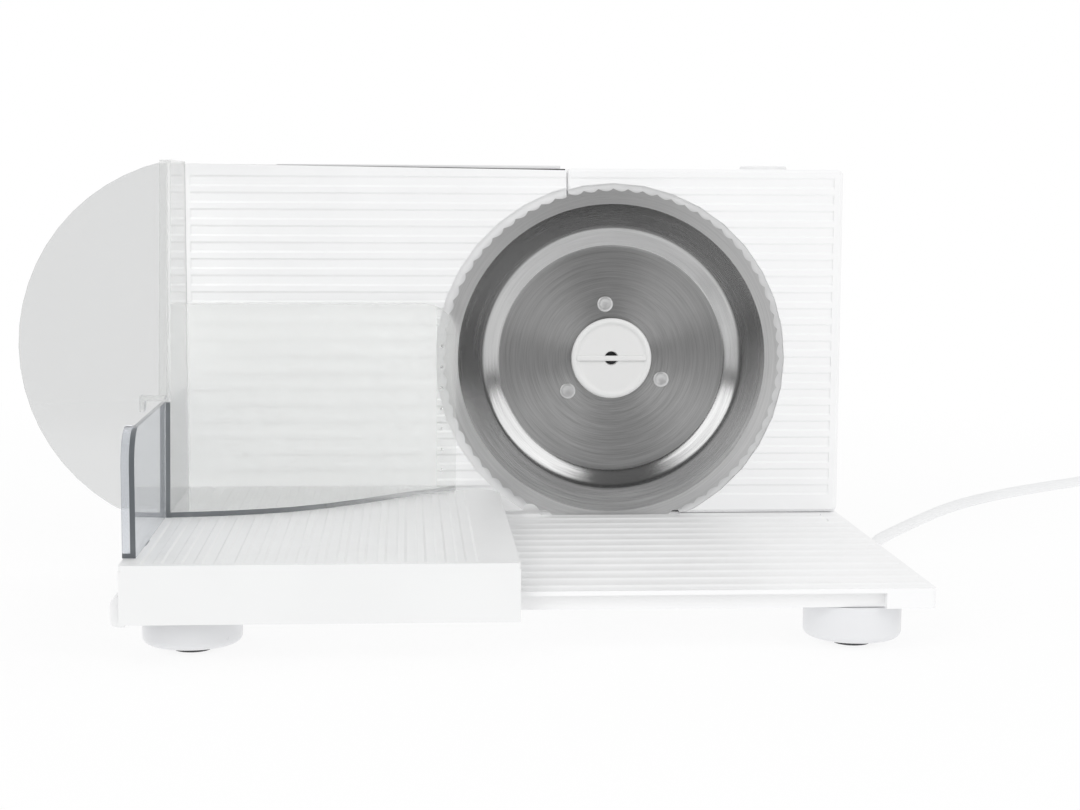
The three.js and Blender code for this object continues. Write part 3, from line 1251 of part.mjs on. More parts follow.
// Housing and what is fixed in it
piece("motor_housing", makeHousing(), white());
piece("rear_cover", makeRearCover(), white());
piece("motor_field_core", makeField(), darkSteel());
piece("motor_bracket_left", makeBracket(coreLeft, -1, motor.bellLeft), metal(0xa3a6a8, 0.5));
piece("motor_bracket_right", makeBracket(coreRight, 1, motor.bellRight), metal(0xa3a6a8, 0.5));
piece("gearbox_plate", makeGearPlate(), steel());
piece("spindle_bush_front", makeBush(housing.recessDepth + seatGap, bush.frontEnd), brass());
piece("spindle_bush_rear", makeBush(bush.rearStart, bush.rearEnd), brass());
piece("shaft_end_bush", makeEndBush(), brass());
piece("power_switch", makePowerSwitch(), plastic(0x2b2b2e, 0.6));
piece("power_button_spring", makeButtonSpring(), steel());
piece("gauge_guide", makeGuide(), warmWhite());
coverScrewPlaces.forEach((place, i) => piece(`cover_screw_${i + 1}`, makeCoverScrew(place),
  darkSteel()));
baseScrewXs.forEach((x, i) => piece(`base_screw_${i + 1}`, makeBaseScrew(x), darkSteel()));

// Motor's turning parts
piece("armature_shaft", rod("x", motorY, motorZ, motor.shaftRadius, shaftLeft, shaftRight), steel());
piece("armature_core", makeArmatureCore(), metal(0x8a6a4a, 0.5));
piece("cooling_fan", makeFan(), plastic(0x3a3b3e, 0.6));
piece("worm", makeWorm(), steel());

// Blade and what turns with it
piece("slicing_blade", makeBlade(), metal(0xa8aaab, 0.28));
piece("blade_hub", makeHub(), warmWhite());
rivetPlaces.forEach((place, i) => piece(`blade_rivet_${i + 1}`, makeRivet(place), steel()));
piece("blade_spindle", rod("y", 0, axisZ, spindle.radius, spindle.front, spindle.back), steel());
piece("worm_wheel", makeWheel(), plastic(0xe9e4d3, 0.5));
piece("blade_lock_knob", makeKnob(), white());

// Thickness gauge
piece("gauge_plate", makeGaugePlate(), white());
piece("gauge_carrier", makeGaugeCarrier(), warmWhite());
piece("guide_rod_left", makeGuideRod(rodXs[0]), steel());
piece("guide_rod_right", makeGuideRod(rodXs[1]), steel());
piece("cam_follower", makeFollower(), warmWhite());
piece("barrel_cam", makeCam(), warmWhite());
piece("thickness_dial", makeDial(), white());

// Buttons
piece("power_button", makePowerButton(), white());
piece("lock_button", makeLockButton(), white());

// Carriage, guard and pusher
piece("carriage_tray", makeCarriage(), white());
piece("thumb_guard", makeThumbGuard(), clear(0x8f9aa2));
piece("food_pusher", makePusher(), clear(0xdfe5e8));

// Mains lead
piece("cord_grip", makeCordGrip(), warmWhite());
piece("strain_relief", makeStrainRelief(), white());
piece("cord_run", makeCordRun(), white());
piece("cord_coil", makeCoil(), white());
layPlug(piece("plug_body", makePlugBody(), white()));
layPlug(piece("plug_pin_1", makePlugPin(-1), steel()));
layPlug(piece("plug_pin_2", makePlugPin(1), steel()));

// The origin goes to the table, below the middle of the object without its lead
const middleX = (shieldX - pusher.shieldRadius + housing.right) / 2;
const middleY = (carriageFront + dialBack) / 2;
slicer.position.set(-middleX, -middleY, -tableZ);
console.log("least gap of the coil to itself:", leastCoilGap().toFixed(2), "mm");
console.log("origin, from the blade's axis:", middleX.toFixed(2), middleY.toFixed(2),
  tableZ.toFixed(2));

export default slicer;
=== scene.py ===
"""Electric food slicer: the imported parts, dressed for a picture.

Lengths are millimetres in the slicer's own measuring frame, unless a comment says otherwise:
X is 0 on the blade's axis, Y is 0 on the front face of the gauge plate (negative towards the
user), and Z is 0 on top of the base plate. place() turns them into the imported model's frame,
in metres. Angles are degrees, anticlockwise from +X: on the blade as the user sees it, and on
the coil as seen from above.
"""

import json
import math

import bpy
from mathutils import Matrix, Vector


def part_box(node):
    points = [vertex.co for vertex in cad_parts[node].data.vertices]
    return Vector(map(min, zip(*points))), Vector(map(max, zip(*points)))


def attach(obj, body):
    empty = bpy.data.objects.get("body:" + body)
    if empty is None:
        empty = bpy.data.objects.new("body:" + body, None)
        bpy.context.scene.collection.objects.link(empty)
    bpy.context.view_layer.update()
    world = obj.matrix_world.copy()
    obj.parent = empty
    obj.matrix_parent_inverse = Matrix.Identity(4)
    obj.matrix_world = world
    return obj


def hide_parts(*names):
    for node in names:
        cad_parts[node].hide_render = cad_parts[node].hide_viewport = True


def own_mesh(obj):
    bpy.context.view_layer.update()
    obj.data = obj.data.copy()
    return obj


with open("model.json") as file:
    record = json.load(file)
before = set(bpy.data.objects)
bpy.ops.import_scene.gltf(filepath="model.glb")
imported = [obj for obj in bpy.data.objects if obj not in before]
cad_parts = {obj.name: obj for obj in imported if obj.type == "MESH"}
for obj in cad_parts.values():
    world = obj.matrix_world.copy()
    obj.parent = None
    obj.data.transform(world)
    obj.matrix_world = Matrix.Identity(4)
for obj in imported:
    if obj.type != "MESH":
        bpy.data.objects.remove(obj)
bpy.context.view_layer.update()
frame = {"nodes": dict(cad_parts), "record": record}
nodes = frame["nodes"]

MM = 0.001
ORIGIN = Vector((88.0, 57.35, 27.4)) * MM
TABLE = -27.4

# Camera, fitted to the photograph: its place, its angles in radians, and its lens
EYE = (-103.187, -997.349, 163.698)
YAW, PITCH, ROLL = 0.06725, 0.10776, -0.00499
LENS, SENSOR = 66.667, 36.0

# Sizes that several pieces share
BLADE_Z = 79.0
BLADE_RADIUS = 85.0
CORD_RADIUS = 3.1
CORD_EXIT = (110.3, 10.0, -14.6)
LIFT = 0.05  # from the table to what lies on it
LIE_Z = TABLE + CORD_RADIUS + LIFT
SEAT_GAP = 0.3
BUTTON_X = 80.5
POWER_BUTTON = (BUTTON_X, 30.0)


def place(x, y, z):
    return Vector((x, y, z)) * MM + ORIGIN


def rad(degrees):
    return math.radians(degrees)


# Camera


def make_camera():
    forward = Vector((
        math.sin(YAW) * math.cos(PITCH), math.cos(YAW) * math.cos(PITCH), -math.sin(PITCH),
    ))
    level = Vector((math.cos(YAW), -math.sin(YAW), 0.0))
    down = forward.cross(level)
    right = level * math.cos(ROLL) + down * math.sin(ROLL)
    under = down * math.cos(ROLL) - level * math.sin(ROLL)
    data = bpy.data.cameras.new("photo_camera")
    data.sensor_fit = "HORIZONTAL"
    data.sensor_width = SENSOR
    data.lens = LENS
    data.clip_start, data.clip_end = 0.01, 100.0
    camera = bpy.data.objects.new("photo_camera", data)
    turn = Matrix((right, -under, -forward)).transposed().to_4x4()
    camera.matrix_world = Matrix.Translation(place(*EYE)) @ turn
    bpy.context.scene.collection.objects.link(camera)
    bpy.context.scene.camera = camera


# Node helpers


class Tree:
    """A short way to write a node tree."""

    def __init__(self, tree):
        self.tree = tree
        tree.nodes.clear()

    def add(self, kind, sets=None, **options):
        node = self.tree.nodes.new(kind)
        for key, value in options.items():
            setattr(node, key, value)
        for key, value in (sets or {}).items():
            if isinstance(value, bpy.types.NodeSocket):
                self.tree.links.new(value, node.inputs[key])
            else:
                node.inputs[key].default_value = value
        return node

    def math(self, operation, a, b=None, clamp=False):
        sets = {0: a}
        if b is not None:
            sets[1] = b
        return self.add("ShaderNodeMath", sets, operation=operation, use_clamp=clamp).outputs[0]

    def span(self, value, low, high, to_low, to_high):
        node = self.add("ShaderNodeMapRange", {
            "Value": value, "From Min": low, "From Max": high, "To Min": to_low, "To Max": to_high,
        })
        return node.outputs[0]

    def noise(self, vector, scale, detail=2.0, roughness=0.5):
        node = self.add("ShaderNodeTexNoise", {
            "Vector": vector, "Scale": scale, "Detail": detail, "Roughness": roughness,
        })
        return node.outputs["Fac"]

    def blend(self, factor, a, b):
        node = self.add("ShaderNodeMix", data_type="RGBA")
        for key, value in (("Factor", factor), ("A", a), ("B", b)):
            sockets = [s for s in node.inputs if s.name == key and s.enabled]
            if isinstance(value, bpy.types.NodeSocket):
                self.tree.links.new(value, sockets[0])
            else:
                sockets[0].default_value = value
        return [s for s in node.outputs if s.enabled][0]

    def mirror_rays(self, path):
        """1 for rays that a surface mirrors, 0 for all others, also those that pass through."""
        return self.math("SUBTRACT", path.outputs["Is Glossy Ray"],
                         path.outputs["Is Transmission Ray"], True)

    def here(self):
        """A place on the object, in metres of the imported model's frame."""
        return self.add("ShaderNodeTexCoord").outputs["Object"]

    def within(self, low, high):
        """1 inside a box of the slicer's measuring frame, given by two corners, else 0."""
        split = self.add("ShaderNodeSeparateXYZ", {"Vector": self.here()})
        inside = 1.0
        for axis, (a, b) in enumerate(zip(place(*low), place(*high))):
            above = self.math("GREATER_THAN", split.outputs[axis], a)
            below = self.math("LESS_THAN", split.outputs[axis], b)
            inside = self.math("MULTIPLY", inside, self.math("MULTIPLY", above, below))
        return inside

    def any_of(self, boxes):
        """1 inside any of the boxes, else 0."""
        found = 0.0
        for low, high in boxes:
            found = self.math("MAXIMUM", found, self.within(low, high))
        return found

    def show(self, shader):
        self.add("ShaderNodeOutputMaterial", {"Surface": shader.outputs[0]})


def new_material(name):
    material = bpy.data.materials.new(name)
    material.use_nodes = True
    return material, Tree(material.node_tree)


def shade(r, g=None, b=None):
    """A colour, or a grey where only r is given."""
    return (r, r if g is None else g, r if b is None else b, 1.0)


def darkened(colour, share):
    return tuple(c * share for c in colour[:3]) + (1.0,)


# The stretches of a noise's values that the looks are spread over
MOST, MIDDLE = (0.3, 0.7), (0.35, 0.65)


def moulded(name, colour, roughness, grain=0.05):
    """Injection-moulded plastic: a fine eroded grain, with faint changes of tone and gloss."""
    tone_scale, grain_scale, wear_scale = 16.0, 2600.0, 60.0
    tone_low, grain_depth = 0.975, 0.0003
    smoother, rougher = 0.05, 0.07
    material, t = new_material(name)
    here = t.here()
    broad = t.noise(here, tone_scale, detail=3.0)
    fine = t.noise(here, grain_scale, detail=2.0, roughness=0.6)
    handled = t.noise(here, wear_scale, detail=4.0, roughness=0.6)
    base = t.blend(t.span(broad, *MIDDLE, 0.0, 1.0), darkened(colour, tone_low), colour)
    rough = t.span(handled, *MOST, roughness - smoother, roughness + rougher)
    bump = t.add("ShaderNodeBump", {"Height": fine, "Strength": grain, "Distance": grain_depth})
    t.show(t.add("ShaderNodeBsdfPrincipled", {
        "Base Color": base, "Roughness": rough, "Normal": bump.outputs[0],
    }))
    return material


def metal(name, colour, roughness, lines, strength=0.08):
    """Turned or rolled metal: streaks that run along the axis with the smallest number."""
    tone_scale, tone_low, streak_depth, spread = 45.0, 0.8, 0.0002, 0.08
    material, t = new_material(name)
    stretched = t.add("ShaderNodeMapping", {"Vector": t.here(), "Scale": lines}).outputs[0]
    streak = t.noise(stretched, 1.0, detail=3.0, roughness=0.6)
    broad = t.noise(t.here(), tone_scale, detail=2.0)
    base = t.blend(t.span(broad, *MOST, 0.0, 1.0), darkened(colour, tone_low), colour)
    rough = t.span(streak, *MOST, roughness - spread, roughness + spread)
    bump = t.add("ShaderNodeBump", {
        "Height": streak, "Strength": strength, "Distance": streak_depth,
    })
    t.show(t.add("ShaderNodeBsdfPrincipled", {
        "Base Color": base, "Metallic": 1.0, "Roughness": rough, "Normal": bump.outputs[0],
    }))
    return material


def brushed_round(name, colour, dark, roughness, fineness, strength, spin):
    """Steel brushed in circles about the blade's axis, in fine hairs and broader bands."""
    hair_along, band_along, band_share = 2.5, 1.1, 0.16
    hair_weight, band_weight, tone_span = 0.6, 0.4, (0.36, 0.64)
    spread, hair_depth, quarter_turn = 0.05, 0.0001, 0.25
    material, t = new_material(name)
    split = t.add("ShaderNodeSeparateXYZ", {"Vector": t.here()})
    centre = place(0, 0, BLADE_Z)
    dx = t.math("SUBTRACT", split.outputs[0], centre.x)
    dz = t.math("SUBTRACT", split.outputs[2], centre.z)
    square = t.math("ADD", t.math("MULTIPLY", dx, dx), t.math("MULTIPLY", dz, dz))
    radius = t.math("SQRT", square)
    around_x = t.math("DIVIDE", dx, radius)
    around_z = t.math("DIVIDE", dz, radius)

    def ring_noise(across, along, detail):
        joined = t.add("ShaderNodeCombineXYZ", {
            0: t.math("MULTIPLY", radius, across),
            1: t.math("MULTIPLY", around_x, along),
            2: t.math("MULTIPLY", around_z, along),
        })
        return t.noise(joined.outputs[0], 1.0, detail, roughness=0.65)

    hair = ring_noise(fineness, hair_along, detail=3.0)
    bands = ring_noise(fineness * band_share, band_along, detail=2.0)
    both = t.math("ADD", t.math("MULTIPLY", hair, hair_weight),
                  t.math("MULTIPLY", bands, band_weight))
    base = t.blend(t.span(both, *tone_span, 0.0, 1.0), dark, colour)
    rough = t.span(both, *MIDDLE, roughness + spread, roughness - spread)
    bump = t.add("ShaderNodeBump", {"Height": hair, "Strength": strength, "Distance": hair_depth})
    tangent = t.add("ShaderNodeTangent", direction_type="RADIAL", axis="Y")
    t.show(t.add("ShaderNodeBsdfPrincipled", {
        "Base Color": base, "Metallic": 1.0, "Roughness": rough, "Anisotropic": spin,
        "Anisotropic Rotation": quarter_turn, "Tangent": tangent.outputs[0],
        "Normal": bump.outputs[0],
    }))
    return material


def clear(name, tint, milk, ends, frosted=(), backdrop_shaded_boxes=(), backdrop_shade_tint=None):
    """Clear moulding: glass-like plastic that lamps shine through, with a trace of haze.

    The boxes in ends hold sheet ends, which get an opaque dark colour where they face along Y:
    painted shade for the dark one sees looking far into the sheet there, less of it towards the
    blade. Those in frosted are whiter. In the boxes given for the shield the tint is darker:
    painted shade of the grey backdrop seen through the shield.
    """
    refraction, gloss, milk_gloss, end_gloss = 1.49, 0.04, 0.35, 0.2
    haze_scale, smoothest, roughest = 120.0, 0.6, 1.4
    frost_share, facing_least = 0.4, 0.3
    fade_from, fade_to = place(-165, 0, 0).x, place(-90, 0, 0).x
    end_share, end_share_at_blade = 0.9, 0.3
    material, t = new_material(name)
    haze = t.noise(t.here(), haze_scale, detail=3.0, roughness=0.6)
    rough = t.span(haze, *MOST, gloss * smoothest, gloss * roughest)
    # In the shield's boxes the tint is darkened: painted shade of the grey backdrop seen through
    # the shield
    colour = t.blend(t.any_of(backdrop_shaded_boxes), tint, backdrop_shade_tint) if backdrop_shaded_boxes else tint
    glass = t.add("ShaderNodeBsdfPrincipled", {
        "Base Color": colour, "Roughness": rough, "IOR": refraction, "Transmission Weight": 1.0,
    })
    cloudy = t.add("ShaderNodeBsdfPrincipled", {
        "Base Color": colour, "Roughness": milk_gloss, "IOR": refraction,
    })
    share = milk
    if frosted:
        share = t.math("MAXIMUM", milk, t.math("MULTIPLY", t.any_of(frosted), frost_share))
    body = t.add("ShaderNodeMixShader", {0: share, 1: glass.outputs[0], 2: cloudy.outputs[0]})
    facing = t.add("ShaderNodeSeparateXYZ", {
        "Vector": t.add("ShaderNodeNewGeometry").outputs["True Normal"],
    })
    along = t.math("GREATER_THAN", t.math("ABSOLUTE", facing.outputs[1]), facing_least)
    # Opaque dark plastic for the sheet ends: painted shade of the dark seen looking far into the
    # sheet
    deep = t.add("ShaderNodeBsdfPrincipled", {
        "Base Color": SHEET_END_PAINTED_SHADE, "Roughness": end_gloss, "IOR": refraction,
    })
    split = t.add("ShaderNodeSeparateXYZ", {"Vector": t.here()})
    fading = t.span(split.outputs[0], fade_from, fade_to, end_share, end_share_at_blade)
    end_shade_share = t.math("MULTIPLY", t.math("MULTIPLY", t.any_of(ends), along), fading)
    body = t.add("ShaderNodeMixShader", {0: end_shade_share, 1: body.outputs[0], 2: deep.outputs[0]})
    through = t.add("ShaderNodeBsdfTransparent", {"Color": SHADOW_TINT})
    path = t.add("ShaderNodeLightPath")
    t.show(t.add("ShaderNodeMixShader", {
        0: path.outputs["Is Shadow Ray"], 1: body.outputs[0], 2: through.outputs[0],
    }))
    return material


# Mesh helpers

WELD_DISTANCE = 2e-6  # metres
FOLD_ANGLE = 24.0
BEVEL_ANGLE, BEVEL_SEGMENTS = 50.0, 2
# How many sides each turned piece has
SIDES = {"relief": 48, "rivet": 40, "knob": 120, "foot": 96, "pad": 72, "power": 72, "lock": 60}


def smooth_group():
    """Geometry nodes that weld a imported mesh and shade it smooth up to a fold's angle."""
    group = bpy.data.node_groups.new("weld_and_smooth", "GeometryNodeTree")
    group.interface.new_socket("Geometry", in_out="INPUT", socket_type="NodeSocketGeometry")
    group.interface.new_socket("Geometry", in_out="OUTPUT", socket_type="NodeSocketGeometry")
    t = Tree(group)
    start = t.add("NodeGroupInput")
    bare = t.add("GeometryNodeRemoveAttribute", {
        "Geometry": start.outputs[0], "Name": "custom_normal",
    })
    weld = t.add("GeometryNodeMergeByDistance", {
        "Geometry": bare.outputs[0], "Distance": WELD_DISTANCE,
    })
    soft = t.add("GeometryNodeSetShadeSmooth", {"Geometry": weld.outputs[0], "Shade Smooth": True})
    fold = t.add("GeometryNodeInputMeshEdgeAngle")
    sharp = t.add("FunctionNodeCompare", data_type="FLOAT", operation="GREATER_THAN")
    t.tree.links.new(fold.outputs["Unsigned Angle"], sharp.inputs[0])
    sharp.inputs[1].default_value = rad(FOLD_ANGLE)
    crisp = t.add("GeometryNodeSetShadeSmooth", {
        "Geometry": soft.outputs[0], "Selection": sharp.outputs[0], "Shade Smooth": False,
    }, domain="EDGE")
    end = t.add("NodeGroupOutput")
    t.tree.links.new(crisp.outputs[0], end.inputs[0])
    return group


def smooth_cad(name, bevel):
    node = nodes[name]
    weld = node.modifiers.new("weld_and_smooth", "NODES")
    weld.node_group = SMOOTH
    if bevel:
        edge = node.modifiers.new("soft_edges", "BEVEL")
        edge.width = bevel * MM
        edge.segments = BEVEL_SEGMENTS
        edge.limit_method = "ANGLE"
        edge.angle_limit = rad(BEVEL_ANGLE)
        edge.harden_normals = False
        edge.use_clamp_overlap = True


def mesh_piece(name, verts, faces, materials, body, stands_for=(), sharp=30.0, face_slots=None):
    """A new piece from vertices in metres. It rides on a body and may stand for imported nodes."""
    data = bpy.data.meshes.new(name)
    data.from_pydata([tuple(v) for v in verts], [], faces)
    data.validate()
    for material in materials:
        data.materials.append(material)
    if face_slots:
        for polygon, index in zip(data.polygons, face_slots):
            polygon.material_index = index
    data.shade_smooth()
    data.set_sharp_from_angle(angle=rad(sharp))
    piece = bpy.data.objects.new(name, data)
    bpy.context.scene.collection.objects.link(piece)
    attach(piece, body)
    if stands_for:
        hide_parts(*stands_for)
    return piece


def ring_faces(rows, columns, closed_rows=False):
    """Quads between rows of points, where every row goes round."""
    faces = []
    last = rows if closed_rows else rows - 1
    for i in range(last):
        a, b = i * columns, (i + 1) % rows * columns
        for j in range(columns):
            k = (j + 1) % columns
            faces.append((a + j, a + k, b + k, b + j))
    return faces


def end_faces(rows, columns):
    """The two faces that close a tube of rows, turned the same way as its ring_faces."""
    shift = columns * (rows - 1)
    return [tuple(reversed(range(columns))), tuple(range(shift, shift + columns))]


def outward(verts, faces):
    """The same faces, turned so that the closed solid's volume is positive."""
    volume = 0.0
    for face in faces:
        for i in range(1, len(face) - 1):
            volume += verts[face[0]].dot(verts[face[i]].cross(verts[face[i + 1]]))
    return faces if volume > 0 else [tuple(reversed(f)) for f in faces]


def quarter(steps):
    """Sine and cosine at even steps of a quarter turn, both ends included."""
    for i in range(steps + 1):
        a = math.pi / 2 * i / steps
        yield math.sin(a), math.cos(a)


def on_axis(axis, a, b, along, u=0.0, v=0.0):
    """A point at a place along a line that is parallel to an axis, moved sideways by u and v."""
    return {
        "x": (along, a + u, b + v), "y": (a + u, along, b + v), "z": (a + u, b + v, along),
    }[axis]


def closed_lathe(axis, a, b, profile, sides):
    """Vertices and faces of a profile [radius, along] turned about a line through a and b.

    The profile starts and ends on the line.
    """
    rows = profile[1:-1]
    verts = []
    for radius, along in rows:
        for j in range(sides):
            angle = 2 * math.pi * j / sides
            u, v = radius * math.cos(angle), radius * math.sin(angle)
            verts.append(place(*on_axis(axis, a, b, along, u, v)))
    faces = ring_faces(len(rows), sides)
    for along, first, order in ((profile[0][1], 0, 1), (profile[-1][1], len(verts) - sides, -1)):
        tip = len(verts)
        verts.append(place(*on_axis(axis, a, b, along)))
        for j in range(sides):
            k = (j + 1) % sides
            pair = (first + j, first + k) if order < 0 else (first + k, first + j)
            faces.append((tip, *pair))
    return verts, faces


def turned_piece(name, axis, a, b, profile, material, body, stands_for, sides, sharp=30.0):
    verts, faces = closed_lathe(axis, a, b, profile, sides)
    return mesh_piece(name, verts, outward(verts, faces), [material], body, stands_for, sharp)


# Materials

WHITE = moulded("white_plastic", shade(0.89, 0.892, 0.895), 0.38)
# A darker copy of the white plastic for the carriage: painted shade of its low front
TRAY_PAINTED_SHADE = moulded("tray_plastic_painted_shade", shade(0.83, 0.835, 0.835), 0.38)
KNOB = moulded("knob_plastic", shade(0.77, 0.77, 0.765), 0.34)
FOOT = moulded("foot_plastic", shade(0.77, 0.775, 0.79), 0.32)
INNER = moulded("inner_plastic", shade(0.86, 0.86, 0.85), 0.45)
GEAR = moulded("gear_nylon", shade(0.80, 0.74, 0.58), 0.45)
BLACK = moulded("black_plastic", shade(0.025, 0.025, 0.028), 0.45, grain=0.12)
RUBBER = moulded("pad_rubber", shade(0.06, 0.06, 0.063), 0.75, grain=0.25)
SHEATH = moulded("cord_sheath", shade(0.86, 0.865, 0.87), 0.4, grain=0.08)
# Painted shade: the dark colour of clear sheet ends seen along Y
SHEET_END_PAINTED_SHADE = shade(0.11, 0.12, 0.13)
SHADOW_TINT = shade(0.985)
CLEAR = clear(
    "pusher_clear", shade(0.91, 0.915, 0.91), 0.06,
    # Sheet ends of the pusher, painted dark as shade
    ends=[((-212.6, -90, 13), (-210.4, -20, 66)), ((-212.6, -90, 13), (-78, -8.4, 16.2))],
    frosted=[((-210, -7.4, 16), (-88, -4.8, 107))],
    # The shield's darker tint: painted shade of the grey backdrop seen through it
    backdrop_shaded_boxes=[((-300, -12, 0), (-213, -3, 180))], backdrop_shade_tint=shade(0.75, 0.755, 0.755),
)
SMOKE = clear(
    "guard_clear", shade(0.70, 0.722, 0.757), 0.10,
    # Sheet ends of the guard, painted dark as shade
    ends=[((-215.0, -190, 13), (-212.7, -170, 67)), ((-220, -190, 13), (-212.7, -170, 15.5))],
)
EVEN_GRAIN = (900.0, 900.0, 900.0)
STEEL = metal("plain_steel", shade(0.56, 0.57, 0.58), 0.3, (60.0, 2500.0, 2500.0))
RIVET = metal("rivet_steel", shade(0.86), 0.5, EVEN_GRAIN, 0.25)
ZINC = metal("screw_steel", shade(0.34, 0.34, 0.36), 0.4, EVEN_GRAIN, 0.15)
CORE = metal("core_steel", shade(0.17, 0.17, 0.175), 0.55, (2600.0, 30.0, 30.0), 0.4)
CAST = metal("bracket_aluminium", shade(0.52, 0.53, 0.54), 0.5, EVEN_GRAIN, 0.3)
COPPER = metal("winding_copper", shade(0.46, 0.21, 0.10), 0.42, (120.0, 2400.0, 2400.0), 0.5)
BRASS = metal("bush_brass", shade(0.62, 0.43, 0.17), 0.34, EVEN_GRAIN, 0.15)
PIN = metal("pin_nickel", shade(0.60, 0.585, 0.55), 0.25, (2000.0, 2000.0, 100.0))
DISC_STEEL = brushed_round("blade_brushed", shade(0.62), shade(0.40), 0.37, 5200.0, 0.25, 0.9)
SLOPE_STEEL = brushed_round("blade_slope", shade(0.58), shade(0.50), 0.22, 3000.0, 0.10, 0.6)
BAND_STEEL = brushed_round("blade_band", shade(0.64), shade(0.43), 0.24, 4200.0, 0.25, 0.9)
EDGE_STEEL = brushed_round("blade_ground", shade(0.74), shade(0.61), 0.5, 2600.0, 0.10, 0.3)

SMOOTH = smooth_group()

SLOT_MATERIALS = {
    "white_plastic": WHITE, "foot_plastic": FOOT, "inner_plastic": INNER, "gear_plastic": GEAR,
    "black_plastic": BLACK, "pad_rubber": RUBBER, "cord_white": SHEATH, "clear_plastic": CLEAR,
    "smoke_clear_plastic": SMOKE, "plain_steel": STEEL, "screw_steel": ZINC, "core_steel": CORE,
    "bracket_aluminium": CAST, "winding_copper": COPPER, "bush_brass": BRASS, "pin_brass": PIN,
    "blade_steel": DISC_STEEL,
}
# Imported parts whose tone in the photograph departs from their slot's
# The carriage's darker white is painted shade
OWN_MATERIALS = {"carriage_tray": TRAY_PAINTED_SHADE, "gauge_carrier": WHITE}
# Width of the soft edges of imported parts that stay
SOFT_EDGES = {
    "base_platform": 0.5, "rail_end_cap": 0.8, "motor_housing": 0.35, "rear_cover": 0.4,
    "gauge_plate": 0.4, "gauge_carrier": 0.4, "carriage_tray": 0.5,
    "thickness_dial": 0.4, "plug_body": 1.2,
}


def dress_packed_parts():
    for part in frame["record"]["subparts"]:
        name = part["node"]
        materials = nodes[name].data.materials
        materials.clear()
        materials.append(OWN_MATERIALS.get(name, SLOT_MATERIALS[part["material_slot"]]))
        smooth_cad(name, SOFT_EDGES.get(name, 0.0))


# Cord

COIL_CENTRE, COIL_START = (408.0, 262.0), 112.0
COIL_MIDDLE, COIL_PITCH = 33.5, 6.8
LAYER_TURNS, CLIMB_TURNS = 2, 0.5
COIL_TURNS = LAYER_TURNS + CLIMB_TURNS + LAYER_TURNS
COIL_STEPS = 64  # in a turn
CLIMB_SWING = 2.0  # how far the climb swings inwards
LEAD_IN = (18.9, 6.2)  # how far before the coil the route's last two points lie
TAIL, TAIL_STEPS = 22.0, 6  # the straight stretch from the coil to the plug
PLUG_LENGTH, PLUG_HALF = 34.0, 6.0  # its length and half its thickness
SMALL_TURN = 0.001
CORD_STEP = 4.0


def coil_point(turn):
    """A point of the coil: turns inwards on the table, a climb, and turns outwards on top."""
    outer = COIL_MIDDLE + COIL_PITCH * LAYER_TURNS / 2
    inner = outer - COIL_PITCH * LAYER_TURNS
    climb = min(max((turn - LAYER_TURNS) / CLIMB_TURNS, 0.0), 1.0)
    if turn <= LAYER_TURNS:
        radius = outer - COIL_PITCH * turn
    elif turn <= LAYER_TURNS + CLIMB_TURNS:
        radius = inner - CLIMB_SWING * math.sin(math.pi * climb)
    else:
        radius = inner + COIL_PITCH * (turn - LAYER_TURNS - CLIMB_TURNS)
    rise = climb * climb * (3 - 2 * climb)
    angle = rad(COIL_START) - 2 * math.pi * turn
    return Vector((
        COIL_CENTRE[0] + radius * math.cos(angle),
        COIL_CENTRE[1] + radius * math.sin(angle),
        LIE_Z + rise * COIL_PITCH,
    ))


def centripetal(points, per_span):
    """Points along a smooth curve through the given ones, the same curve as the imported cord's."""
    points = [Vector(p) for p in points]
    ends = [points[0] * 2 - points[1], *points, points[-1] * 2 - points[-2]]
    made = []
    for i in range(1, len(ends) - 2):
        p = ends[i - 1:i + 3]
        knots = [0.0]
        for a, b in zip(p, p[1:]):
            knots.append(knots[-1] + max((b - a).length, 1e-6) ** 0.5)
        steps = max(2, round((p[2] - p[1]).length / per_span))
        for k in range(steps):
            t = knots[1] + (knots[2] - knots[1]) * k / steps
            level = p
            for width in (1, 2, 3):
                level = [
                    level[j] * ((knots[j + width] - t) / (knots[j + width] - knots[j]))
                    + level[j + 1] * ((t - knots[j]) / (knots[j + width] - knots[j]))
                    for j in range(len(level) - 1)
                ]
            made.append(level[0])
    made.append(points[-1])
    return made


def cord_line():
    """The lead's middle line: out of the relief, down, along the table, coiled, to the plug."""
    first = coil_point(0.0)
    leading = (first - coil_point(SMALL_TURN)).normalized()
    route = [
        CORD_EXIT, (118, 10.2, -15.2), (127.6, 14, -18.6), (137, 23.4, -22.6),
        (144.4, 38.7, LIE_Z), (151.7, 55.4, LIE_Z), (160.8, 72, LIE_Z), (171.8, 90.1, LIE_Z),
        (183.7, 109.2, LIE_Z), (197.2, 130.4, LIE_Z), (211.2, 151.3, LIE_Z),
        (228.5, 174.2, LIE_Z), (248, 195.9, LIE_Z), (274, 220.3, LIE_Z), (303, 244, LIE_Z),
        (331.2, 264.8, LIE_Z), (355.4, 284.1, LIE_Z),
        *(first + leading * ahead for ahead in LEAD_IN), first,
    ]
    line = centripetal(route, CORD_STEP)
    count = int(COIL_TURNS * COIL_STEPS)
    line += [coil_point(COIL_TURNS * i / count) for i in range(1, count + 1)]
    last = line[-1]
    away = (last - coil_point(COIL_TURNS - SMALL_TURN)).normalized()
    drop = LIE_Z + COIL_PITCH - TABLE - PLUG_HALF - LIFT
    away.z = -math.tan(math.asin(drop / (TAIL + SEAT_GAP + PLUG_LENGTH)))
    away.normalize()
    line += [last + away * (TAIL * i / TAIL_STEPS) for i in range(1, TAIL_STEPS + 1)]
    return line


